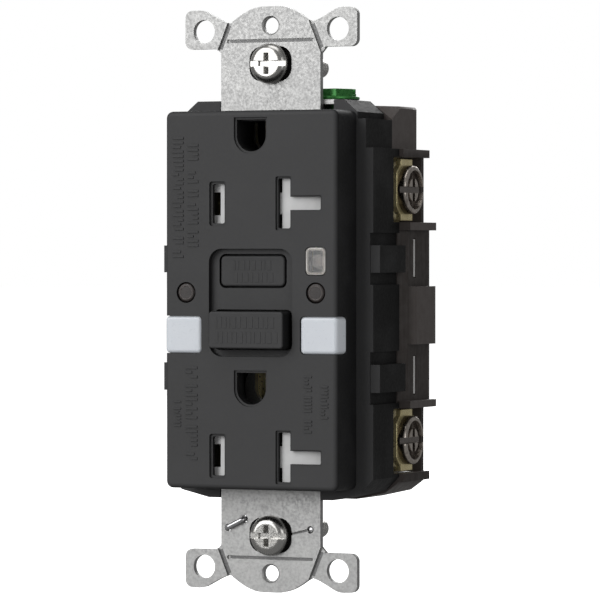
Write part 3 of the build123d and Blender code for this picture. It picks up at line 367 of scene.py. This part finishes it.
def zinc_steel():
    """Galvanised sheet: fine mottling, faint rolling lines, small dark pits."""
    paint = Paint("zinc_steel", (0.45, 0.45, 0.445), 0.5, metallic=1.0)
    mottle = paint.speckle(0.45 * MM, 5, 0.65)
    paint.tint(paint.fit(mottle, 0.42, 0.68, 0, 0.6), (0.33, 0.33, 0.33))
    cloud = paint.speckle(5 * MM, 3)
    paint.tint(paint.fit(cloud, 0.45, 0.7, 0, 0.35), (0.52, 0.52, 0.51))
    paint.vary("Roughness", mottle, 0.3, 0.7, 0.44, 0.64)
    rolled = paint.speckle(0.12 * MM, 2, 0.5, paint.stretch(1, 1, 0.06))
    paint.bump(rolled, 0.006 * MM, 0.4)
    paint.bump(mottle, 0.012 * MM, 0.5)
    return paint.material


def nickel_steel():
    """Bright nickel plate, unevenly polished."""
    paint = Paint("nickel_steel", (0.45, 0.445, 0.43), 0.24, metallic=1.0)
    paint.mottle((0.5, 0.48, 0.45), 0.5, 0.8 * MM, 4, low=0.45, high=0.75)
    paint.gloss(0.16, 0.34, 0.3 * MM, 4)
    paint.grain(0.004 * MM, 0.5, 0.15 * MM, 3)
    return paint.material


def dark_screw_steel():
    """Darkened steel, with painted shade that makes it nearly black behind the terminal screws' heads."""
    paint = Paint("dark_screw_steel", (0.52, 0.47, 0.42), 0.24, metallic=1.0)
    paint.mottle((0.22, 0.19, 0.165), 0.7, 0.7 * MM, 5, low=0.42, high=0.68)
    # painted shade: the shank inside |x| = 20.1 mm, behind the head, is darkened
    painted_shade_behind_head = paint.fit(paint.absolute(paint.axis("X")), 20.3 * MM, 20.1 * MM, 0.0, 0.75)
    paint.tint(painted_shade_behind_head, (0.07, 0.055, 0.05))
    paint.gloss(0.18, 0.4, 0.3 * MM, 4)
    paint.grain(0.006 * MM, 0.5, 0.2 * MM, 3)
    return paint.material


def green_steel():
    """Green-dyed steel."""
    paint = Paint("green_steel", (0.03, 0.17, 0.035), 0.3, metallic=0.55, specular=0.5)
    paint.mottle((0.07, 0.3, 0.07), 0.6, 0.8 * MM, 4)
    paint.gloss(0.22, 0.42, 0.4 * MM, 3)
    paint.grain(0.008 * MM, 0.5, 0.25 * MM, 3)
    return paint.material


def brass():
    """Sheet brass with duller patches."""
    paint = Paint("brass", (0.86, 0.75, 0.42), 0.4, metallic=0.7)
    paint.mottle((0.68, 0.56, 0.27), 0.5, 1.6 * MM, 4, low=0.42, high=0.7)
    paint.gloss(0.22, 0.42, 0.5 * MM, 4)
    paint.bump(paint.speckle(0.12 * MM, 2, 0.5, paint.stretch(1, 0.08, 1)), 0.005 * MM, 0.4)
    return paint.material


def spring_steel():
    """Bright drawn wire."""
    paint = Paint("spring_steel", (0.6, 0.6, 0.61), 0.28, metallic=1.0)
    paint.mottle((0.42, 0.42, 0.43), 0.5, 0.6 * MM, 3, low=0.42, high=0.7)
    paint.gloss(0.2, 0.36, 0.3 * MM, 3)
    paint.grain(0.003 * MM, 0.4, 0.1 * MM)
    return paint.material


def fibre():
    """Rough black fibre."""
    paint = Paint("fibre", (0.022, 0.021, 0.02), 0.8, specular=0.3)
    paint.mottle((0.05, 0.046, 0.042), 0.6, 0.3 * MM, 5, low=0.45, high=0.7)
    paint.gloss(0.7, 0.92, 0.4 * MM)
    paint.grain(0.03 * MM, 0.6, 0.14 * MM, 5)
    return paint.material


def board():
    """Green solder mask over a faint weave."""
    paint = Paint("board", (0.02, 0.13, 0.05), 0.35, specular=0.5)
    weave_inputs = {"Vector": paint.place, "Scale": 1 / (3 * MM), "Distortion": 0.5}
    weave = paint.node("ShaderNodeTexWave", weave_inputs)
    paint.tint(paint.fit(weave.outputs["Fac"], 0.45, 0.55, 0, 0.5), (0.03, 0.2, 0.08))
    paint.gloss(0.28, 0.42, 0.6 * MM)
    paint.bump(weave.outputs["Fac"], 0.02 * MM, 0.3)
    return paint.material


def component():
    """Black moulded chips."""
    paint = Paint("component", (0.02, 0.02, 0.022), 0.5, specular=0.4)
    paint.mottle((0.04, 0.04, 0.042), 0.5, 0.5 * MM, 3, low=0.45, high=0.7)
    paint.gloss(0.4, 0.6, 0.5 * MM)
    paint.grain(0.01 * MM, 0.4, 0.15 * MM)
    return paint.material


def blue_component():
    """Blue epoxy of the surge varistor."""
    paint = Paint("blue_component", (0.02, 0.09, 0.27), 0.3, specular=0.5)
    paint.mottle((0.03, 0.13, 0.36), 0.5, 1.5 * MM, 3)
    paint.gloss(0.22, 0.4, 0.8 * MM)
    paint.grain(0.05 * MM, 0.3, 0.9 * MM)
    return paint.material


def lamp():
    """Yellowish lamp bodies."""
    paint = Paint("lamp", (0.8, 0.78, 0.64), 0.25, specular=0.5)
    paint.mottle((0.9, 0.87, 0.7), 0.4, 0.8 * MM, 3)
    paint.gloss(0.18, 0.36, 0.4 * MM)
    paint.grain(0.006 * MM, 0.4, 0.3 * MM)
    return paint.material


def ferrite():
    """Dull dark grey cores."""
    paint = Paint("ferrite", (0.05, 0.05, 0.052), 0.6, metallic=0.4)
    paint.mottle((0.1, 0.1, 0.1), 0.5, 0.4 * MM, 4, low=0.45, high=0.7)
    paint.gloss(0.5, 0.7, 0.4 * MM)
    paint.grain(0.02 * MM, 0.5, 0.2 * MM, 4)
    return paint.material


def copper():
    """Enamelled copper wire."""
    paint = Paint("copper", (0.62, 0.25, 0.11), 0.25, metallic=1.0)
    paint.mottle((0.45, 0.15, 0.06), 0.5, 1.0 * MM, 3, low=0.42, high=0.7)
    paint.gloss(0.18, 0.34, 0.4 * MM)
    paint.grain(0.008 * MM, 0.4, 0.3 * MM)
    return paint.material


def lamp_glow():
    """Clear resin with a yellow phosphor tint."""
    paint = Paint("lamp_resin", (0.85, 0.72, 0.25), 0.18, specular=0.5)
    paint.mottle((0.9, 0.82, 0.45), 0.4, 0.6 * MM, 3)
    paint.gloss(0.12, 0.26, 0.4 * MM)
    paint.grain(0.006 * MM, 0.4, 0.3 * MM)
    return paint.material


def status_rim():
    """The paler brown edge of the round lenses."""
    paint = Paint("status_rim", (0.09, 0.075, 0.07), 0.35, specular=0.5)
    paint.mottle((0.05, 0.04, 0.037), 0.6, 0.5 * MM, 3)
    paint.gloss(0.28, 0.45, 0.3 * MM)
    paint.grain(0.006 * MM, 0.4, 0.2 * MM)
    return paint.material


def edge_highlight():
    """Pale colour for the sensor window's edge: a painted highlight."""
    paint = Paint("edge_highlight", (0.6, 0.59, 0.57), 0.35, specular=0.5)
    paint.mottle((0.36, 0.35, 0.33), 0.6, 0.5 * MM, 3)
    paint.gloss(0.25, 0.45, 0.3 * MM)
    paint.grain(0.01 * MM, 0.4, 0.3 * MM)
    return paint.material


def smoked_resin():
    """Brown resin of the light sensor."""
    paint = Paint("smoked_resin", (0.16, 0.13, 0.115), 0.2, specular=0.5)
    paint.mottle((0.24, 0.21, 0.2), 0.5, 0.6 * MM, 3)
    paint.gloss(0.14, 0.28, 0.4 * MM)
    paint.grain(0.006 * MM, 0.4, 0.3 * MM)
    return paint.material


def slit_light():
    """Pale colour in the side slits: painted light, standing in for light seen through them."""
    paint = Paint("slit_light", (0.62, 0.61, 0.6), 0.4, specular=0.5)
    paint.mottle((0.45, 0.44, 0.43), 0.5, 0.8 * MM, 3)
    paint.gloss(0.34, 0.48, 0.5 * MM)
    paint.grain(0.008 * MM, 0.4, 0.2 * MM)
    return paint.material


def groove_shade():
    """Dark dull steel: painted shade in the strap's score lines and wire groove."""
    paint = Paint("groove_shade", (0.16, 0.16, 0.16), 0.5, metallic=0.6)
    paint.mottle((0.25, 0.25, 0.25), 0.6, 0.4 * MM, 3)
    paint.gloss(0.42, 0.6, 0.3 * MM)
    paint.grain(0.01 * MM, 0.4, 0.2 * MM)
    return paint.material


FINISHES = [
    face_plastic, rear_plastic, inner_plastic, shutter_plastic, white_lens, clear_lens, status_lens,
    zinc_steel, nickel_steel, dark_screw_steel, green_steel, brass, spring_steel, fibre, board,
    component, blue_component, lamp, ferrite, copper,
]
MATERIALS = {make.__name__: make() for make in FINISHES}
SLOT_OF = {row["node"]: row["material_slot"] for row in frame["record"]["subparts"]}


# ---- CAD nodes ---------------------------------------------------------------------------
EDGE_ROUND, THIN_SHARE = 0.12, 0.1  # edge radius, and the most of a piece's least thickness it may take
WELD_GAP = 0.001
FLAT_ANGLE, EDGE_ANGLE = math.radians(0.2), math.radians(35)


def soften(piece, width):
    """Small rounds on the sharp edges, no wider than the shape leaves room for."""
    soft = piece.modifiers.new("soft_edges", "BEVEL")
    soft.limit_method = "ANGLE"
    soft.angle_limit = EDGE_ANGLE
    soft.width = width
    soft.segments = 2
    soft.use_clamp_overlap = True


def finish_nodes():
    """Every CAD node: merged seams, softly rounded edges and its slot's material."""
    for name, node in frame["nodes"].items():
        node.data.materials.clear()
        node.data.materials.append(MATERIALS[SLOT_OF[name]])
        low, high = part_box(name)
        weld = node.modifiers.new("weld", "WELD")
        weld.merge_threshold = WELD_GAP * MM
        flat = node.modifiers.new("merge_flats", "DECIMATE")
        flat.decimate_type = "DISSOLVE"
        flat.angle_limit = FLAT_ANGLE
        soften(node, min(EDGE_ROUND * MM, min(high - low) * THIN_SHARE))
        shade = node.modifiers.new("face_normals", "WEIGHTED_NORMAL")
        shade.keep_sharp = False
        shade.weight = 100


# ---- building pieces, in millimetres -----------------------------------------------------
def box_of(node):
    """A CAD node's lowest and highest corners at rest."""
    low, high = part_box(node)
    return low / MM, high / MM


def add_piece(name, body, slot_name, bm, material=None, bevel=0.0, smooth=False):
    """A mesh that rides on a CAD body and takes its finish from a slot of the record."""
    bmesh.ops.recalc_face_normals(bm, faces=bm.faces)
    mesh = bpy.data.meshes.new(name)
    bm.to_mesh(mesh)
    bm.free()
    mesh.materials.append(material or MATERIALS[slot_name])
    if smooth:
        mesh.shade_smooth()
    piece = link(name, mesh)
    if bevel:
        soften(piece, bevel * MM)
    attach(piece, body)
    return piece


def add_box(bm, low, high):
    """A box between two corners."""
    low, high = Vector(low) * MM, Vector(high) * MM
    place = Matrix.Translation((low + high) / 2) @ Matrix.Diagonal((*(high - low), 1.0))
    bmesh.ops.create_cube(bm, size=1.0, matrix=place)


def circle(middle, across, up, radius, sides):
    """Points round a middle, in the plane of two unit vectors."""
    turn = [2 * math.pi * k / sides for k in range(sides)]
    return [middle + radius * (math.cos(a) * across + math.sin(a) * up) for a in turn]


def helix(start, along, across, radius, pitch, turns, steps):
    """Points of a helix about a line, with so many steps to a turn."""
    up = along.cross(across)
    points = []
    for i in range(int(turns * steps)):
        a = 2 * math.pi * i / steps
        out = math.cos(a) * across + math.sin(a) * up
        points.append(start + along * (pitch * i / steps) + radius * out)
    return points


def skin(bm, rings, closed):
    """Faces from ring to ring, and from the last to the first if closed or over both ends if not."""
    pairs = list(zip(rings, rings[1:])) + ([(rings[-1], rings[0])] if closed else [])
    for a, b in pairs:
        for k in range(len(a)):
            after = (k + 1) % len(a)
            bm.faces.new((a[k], a[after], b[after], b[k]))
    if not closed:
        bm.faces.new(rings[0])
        bm.faces.new(rings[-1])


def add_tube(bm, points, radius, sides=8, closed=False):
    """A round wire along a list of points."""
    count = len(points)
    rings, across = [], None
    for i, point in enumerate(points):
        ahead = points[(i + 1) % count] if closed or i < count - 1 else point
        behind = points[i - 1] if closed or i > 0 else point
        along = (ahead - behind).normalized()
        across = along.orthogonal() if across is None else across - along * across.dot(along)
        across.normalize()
        ring = circle(point, across, along.cross(across), radius, sides)
        rings.append([bm.verts.new(corner * MM) for corner in ring])
    skin(bm, rings, closed)


def add_turned(bm, start, along, profile, sides=40, hollow=False):
    """A shape turned about a line: profile holds (distance along the line, radius).
    A hollow one joins its last ring to its first instead of closing its ends."""
    along = Vector(along).normalized()
    across = along.orthogonal().normalized()
    rings = []
    for reach, radius in profile:
        ring = circle(Vector(start) + reach * along, across, along.cross(across), radius, sides)
        rings.append([bm.verts.new(corner * MM) for corner in ring])
    skin(bm, rings, hollow)


# ---- raised marks in place of the lettering ----------------------------------------------
# x from and to, z from and down to, and the pitch of the bars
LEGEND_COLUMNS = [
    (-15.1, -13.0, 28.7, 6.5, 0.8),
    (-12.2, -10.1, 27.4, 8.4, 0.8),
    (-14.9, -13.5, -17.8, -23.0, 0.6),
    (-12.6, -10.3, -11.7, -28.8, 0.8),
    (13.5, 14.9, -14.8, -21.3, 0.6),
    (10.3, 11.8, -13.1, -23.4, 0.6),
]
BAR_SHARE, WORD_SPACE_ODDS = 0.55, 0.12  # a bar's height over the pitch, and how often one is left out
BAR_INSETS = (0.0, 0.0, 0.5, 0.9)  # how much of half a column's width a bar falls short
# each row's height above the button's middle, half length and letter height
BUTTON_ROWS = {
    "test_button": [(0.15, 3.7, 1.7), (-2.0, 3.7, 1.7)],
    "reset_button": [(0.3, 5.8, 2.0), (-2.3, 5.8, 2.0)],
}
STROKE_WIDTHS, STROKE_GAP = (0.35, 0.55, 0.8), 0.35
LEGEND_RISE, BUTTON_RISE, LEGEND_ROOT = 0.13, 0.05, 0.1  # above the surface, and sunk into it
LEGEND_BEVEL = 0.03


def add_face_marks(draw):
    """Short bars in columns beside both outlets."""
    face_y = box_of("front_cover")[0].y
    bm = bmesh.new()
    for x0, x1, top, bottom, pitch in LEGEND_COLUMNS:
        z = top
        while z - pitch > bottom:
            if draw.random() < WORD_SPACE_ODDS:
                z -= pitch
                continue
            inset = draw.choice(BAR_INSETS) * (x1 - x0) / 2
            left = draw.random() < 0.5
            low = (x0 + (inset if left else 0), face_y - LEGEND_RISE, z - BAR_SHARE * pitch)
            add_box(bm, low, (x1 - (0 if left else inset), face_y + LEGEND_ROOT, z))
            z -= pitch
    add_piece("face_marks", "base", "face_plastic", bm, bevel=LEGEND_BEVEL)


def add_button_marks(draw):
    """Upright bars in two rows on each button."""
    for button, rows in BUTTON_ROWS.items():
        low, high = box_of(button)
        front, mid_z = low.y, (low.z + high.z) / 2
        bm = bmesh.new()
        for dz, half, tall in rows:
            x, z = -half, mid_z + dz
            while x < half:
                wide = draw.choice(STROKE_WIDTHS)
                add_box(bm, (x, front - BUTTON_RISE, z), (x + wide, front + LEGEND_ROOT, z + tall))
                x += wide + STROKE_GAP
        add_piece(f"{button}_marks", button, "face_plastic", bm, bevel=LEGEND_BEVEL)


# ---- screw threads -----------------------------------------------------------------------
THREAD_RISE = 0.14  # radius of the ridge
COARSE_PITCH = 0.794  # 32 threads to the inch
BOX_THREAD_Y0, BOX_THREAD_R, BOX_BARE_END = 2.6, 1.68, 4.2
TERMINAL_THREAD_R, TERMINAL_THREAD_LENGTH = 1.88, 4.6
GROUND_THREAD_R, GROUND_THREAD_LENGTH = 1.6, 5.2
TIP_GAP = 0.2  # between the screw's end and the first turn


def thread_ridge(start, along, radius, length):
    """A helical ridge round a screw's shank."""
    along = Vector(along)
    across = along.orthogonal().normalized()
    bm = bmesh.new()
    turns = length / COARSE_PITCH
    add_tube(bm, helix(Vector(start), along, across, radius, COARSE_PITCH, turns, 20), THREAD_RISE, sides=5)
    return bm


def add_threads():
    """Thread ridges on the box, terminal and ground screws."""
    for name in ("box_screw_top", "box_screw_bottom"):
        low, high = box_of(name)
        start = (0, BOX_THREAD_Y0, (low.z + high.z) / 2)
        bm = thread_ridge(start, (0, 1, 0), BOX_THREAD_R, high.y - BOX_BARE_END)
        add_piece(f"{name}_thread", name, "nickel_steel", bm, smooth=True)
    for name in (n for n in frame["nodes"] if n.startswith("terminal_screw_")):
        low, high = box_of(name)
        tip = low.x if low.x > 0 else high.x
        side = math.copysign(1, tip)
        start = (tip + TIP_GAP * side, (low.y + high.y) / 2, (low.z + high.z) / 2)
        bm = thread_ridge(start, (side, 0, 0), TERMINAL_THREAD_R, TERMINAL_THREAD_LENGTH)
        add_piece(f"{name}_thread", name, "dark_screw_steel", bm, smooth=True)
    low, high = box_of("ground_screw")
    start = ((low.x + high.x) / 2, (low.y + high.y) / 2, low.z + TIP_GAP)
    bm = thread_ridge(start, (0, 0, 1), GROUND_THREAD_R, GROUND_THREAD_LENGTH)
    add_piece("ground_screw_thread", "ground_screw", "green_steel", bm, smooth=True)


# ---- lamps, lenses and the light sensor --------------------------------------------------
LAMP_X = 12.5  # on both sides
NIGHT_LAMP_Z, INDICATOR_Z, SENSOR_Z = -6.1, 1.3, 6.8
CHIP_HALF_X, CHIP_HALF_Z, CHIP_HEIGHT, DOME_SINK = 1.3, 1.4, 0.8, 0.05
# distance from the lamp board and radius
CHIP_DOME = [(0.0, 1.0), (0.35, 0.95), (0.7, 0.75), (0.95, 0.4), (1.05, 0.05)]
INDICATOR = [(0.0, 1.0), (1.2, 1.0), (1.7, 0.85), (2.0, 0.5), (2.15, 0.05)]
SENSOR_EYE = [(0.0, 1.1), (2.7, 1.1), (3.3, 0.95), (3.75, 0.6), (3.95, 0.05)]
RIM_WIRE, RIM_CORNER = 0.26, 0.55  # wire and corner radius of the sensor window's edge
STATUS_INSET, STATUS_RIM_R, STATUS_WIRE, STATUS_SINK = 2.2, 1.2, 0.1, 0.03


def add_lamps():
    """Lamps behind the corner lenses, indicator lamps behind the round ones, and the light sensor."""
    seat = box_of("lamps")[1].y
    forward = (0, -1, 0)
    chips, domes, sensor = bmesh.new(), bmesh.new(), bmesh.new()
    for x in (-LAMP_X, LAMP_X):
        low = (x - CHIP_HALF_X, seat - CHIP_HEIGHT, NIGHT_LAMP_Z - CHIP_HALF_Z)
        add_box(chips, low, (x + CHIP_HALF_X, seat, NIGHT_LAMP_Z + CHIP_HALF_Z))
        add_turned(domes, (x, seat - CHIP_HEIGHT + DOME_SINK, NIGHT_LAMP_Z), forward, CHIP_DOME, sides=24)
        add_turned(domes, (x, seat, INDICATOR_Z), forward, INDICATOR, sides=24)
    add_turned(sensor, (LAMP_X, seat, SENSOR_Z), forward, SENSOR_EYE, sides=28)
    lamp_chips = add_piece("lamp_chips", "base", "lamp", chips, bevel=0.06)
    add_piece("lamp_domes", "base", "lamp", domes, lamp_glow(), smooth=True)
    add_piece("light_sensor", "base", "lamp", sensor, smoked_resin(), smooth=True)
    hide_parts("lamps")


def add_sensor_rim():
    """A pale wire round the sensor window, a painted highlight where its edge catches the light."""
    low, high = box_of("sensor_window")
    middle = (low + high) / 2
    reach_x = (high.x - low.x) / 2 - RIM_WIRE - RIM_CORNER
    reach_z = (high.z - low.z) / 2 - RIM_WIRE - RIM_CORNER
    points = []
    for quarter, (sx, sz) in enumerate(((1, 1), (-1, 1), (-1, -1), (1, -1))):
        for step in range(6):
            a = math.pi / 2 * (quarter + step / 5)
            x = middle.x + sx * reach_x + RIM_CORNER * math.cos(a)
            z = middle.z + sz * reach_z + RIM_CORNER * math.sin(a)
            points.append(Vector((x, low.y + RIM_WIRE, z)))
    bm = bmesh.new()
    add_tube(bm, points, RIM_WIRE, sides=10, closed=True)
    # painted highlight: the pale rim stands in for light caught in the window's edge
    add_piece("sensor_rim", "base", "clear_lens", bm, edge_highlight(), smooth=True)


def add_status_rims():
    """A paler ring on each round lens."""
    low, high = box_of("status_lenses")
    lens_x = high.x - STATUS_INSET
    bm = bmesh.new()
    for x in (-lens_x, lens_x):
        middle = Vector((x, low.y + STATUS_SINK, (low.z + high.z) / 2))
        ring = circle(middle, Vector((1, 0, 0)), Vector((0, 0, 1)), STATUS_RIM_R, 40)
        add_tube(bm, ring, STATUS_WIRE, closed=True)
    add_piece("status_rims", "base", "status_lens", bm, status_rim(), smooth=True)


# ---- windings ----------------------------------------------------------------------------
COIL_WIRE = 0.21  # radius
CORE_WIRE, CORE_TURNS, CORE_GAP = 0.13, 44, 0.05
CORE_WIDTH, CORE_INNER_R, CORE_OUTER_R = 2.7, 3.3, 7.72


def add_solenoid_winding():
    """The outer layer of wire on a hollow drum, in the CAD coil's place."""
    low, high = box_of("solenoid_coil")
    middle = (low + high) / 2
    outer, length = (high.x - low.x) / 2, high.z - low.z
    drum = outer - 2 * COIL_WIRE
    corners = (v.co / MM - middle for v in frame["nodes"]["solenoid_coil"].data.vertices)
    bore = min(math.hypot(corner.x, corner.y) for corner in corners)
    up, across = Vector((0, 0, 1)), Vector((1, 0, 0))
    bm = bmesh.new()
    wall = [(0.0, bore), (0.0, drum), (length, drum), (length, bore)]
    add_turned(bm, (middle.x, middle.y, low.z), up, wall, hollow=True)
    start = Vector((middle.x, middle.y, low.z + COIL_WIRE))
    turns = int(length / (2 * COIL_WIRE)) - 1
    add_tube(bm, helix(start, up, across, outer - COIL_WIRE, 2 * COIL_WIRE, turns, 36), COIL_WIRE, sides=6)
    coil = add_piece("solenoid_winding", "base", "copper", bm)
    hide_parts("solenoid_coil")


def add_core_windings():
    """Single turns of wire all round both sensing cores."""
    low, high = box_of("transformer_cores")
    middle = (low + high) / 2
    bm = bmesh.new()
    for y in (low.y, high.y - CORE_WIDTH):
        front, back = y - CORE_GAP, y + CORE_WIDTH + CORE_GAP
        for i in range(CORE_TURNS):
            a = 2 * math.pi * i / CORE_TURNS
            out = Vector((math.cos(a), 0, math.sin(a)))
            loop = [(CORE_INNER_R, front), (CORE_OUTER_R, front), (CORE_OUTER_R, back), (CORE_INNER_R, back)]
            points = [Vector((middle.x, at, middle.z)) + r * out for r, at in loop]
            add_tube(bm, points, CORE_WIRE, sides=5, closed=True)
    add_piece("core_windings", "base", "copper", bm)


# ---- strips and score lines --------------------------------------------------------------
SLIT_X, SLIT_Y = (20.3, 20.75), (14.6, 15.3)
SLIT_Z = ((3.8, 10.9), (-17.0, -9.9))
SLIT_GAP = 0.2
SCORE_THICK = 0.08
# across the strap below each hump, and aslant between hump and ear: from, to, width and depth
SCORE_Z, SCORE_HALF, SCORE_SIZE = 45.75, 8.0, (0.5, 0.35)
EAR_SCORE_IN, EAR_SCORE_OUT, EAR_SCORE_SIZE = (8.1, 48.6), (9.82, 44.4), (0.7, 0.45)
WIRE_GROOVE = ((4.2, -41.3), (7.1, -40.65), 0.34, 0.4)


def add_column_strips():
    """Pale strips in the slits down both sides of the rear cover: painted light, standing in for light seen
    through the slits.
    """
    bm = bmesh.new()
    for side in (-1, 1):
        x0, x1 = sorted(side * x for x in SLIT_X)
        for bottom, top in SLIT_Z:
            add_box(bm, (x0, SLIT_Y[0], bottom + SLIT_GAP), (x1, SLIT_Y[1], top - SLIT_GAP))
    # painted light: pale strips where the slits show light through
    add_piece("column_strips", "base", "rear_plastic", bm, slit_light(), bevel=0.04)


def score_lines():
    """The strap's grooves: two ends in x and z, then width and depth."""
    lines = [WIRE_GROOVE]
    for end in (-1, 1):
        lines.append(((-SCORE_HALF, end * SCORE_Z), (SCORE_HALF, end * SCORE_Z), *SCORE_SIZE))
        for side in (-1, 1):
            ends = [(side * x, end * z) for x, z in (EAR_SCORE_IN, EAR_SCORE_OUT)]
            lines.append((*ends, *EAR_SCORE_SIZE))
    return lines


def add_score_lines():
    """Thin dark strips of painted shade in the strap's break-off scores and in the wire's groove beside the
    lower box screw.
    """
    face_y = box_of("mounting_strap")[0].y
    bm = bmesh.new()
    for (x0, z0), (x1, z1), wide, deep in score_lines():
        middle = Vector(((x0 + x1) / 2, face_y + deep, (z0 + z1) / 2)) * MM
        turn = Matrix.Rotation(-math.atan2(z1 - z0, x1 - x0), 4, "Y")
        size = Matrix.Diagonal((math.hypot(x1 - x0, z1 - z0) * MM, SCORE_THICK * MM, wide * MM, 1.0))
        bmesh.ops.create_cube(bm, size=1.0, matrix=Matrix.Translation(middle) @ turn @ size)
    # painted shade: dark strips laid in the grooves
    add_piece("score_lines", "base", "zinc_steel", bm, groove_shade())


# ---- the scene ---------------------------------------------------------------------------
add_camera()
add_world()
for softbox in SOFTBOXES:
    add_softbox(*softbox)
add_floor()
finish_nodes()
marks_draw = random.Random(4)
add_face_marks(marks_draw)
add_button_marks(marks_draw)
add_threads()
add_lamps()
add_sensor_rim()
add_status_rims()
add_solenoid_winding()
add_core_windings()
add_column_strips()
add_score_lines()
bpy.context.scene.view_settings.view_transform = "Standard"
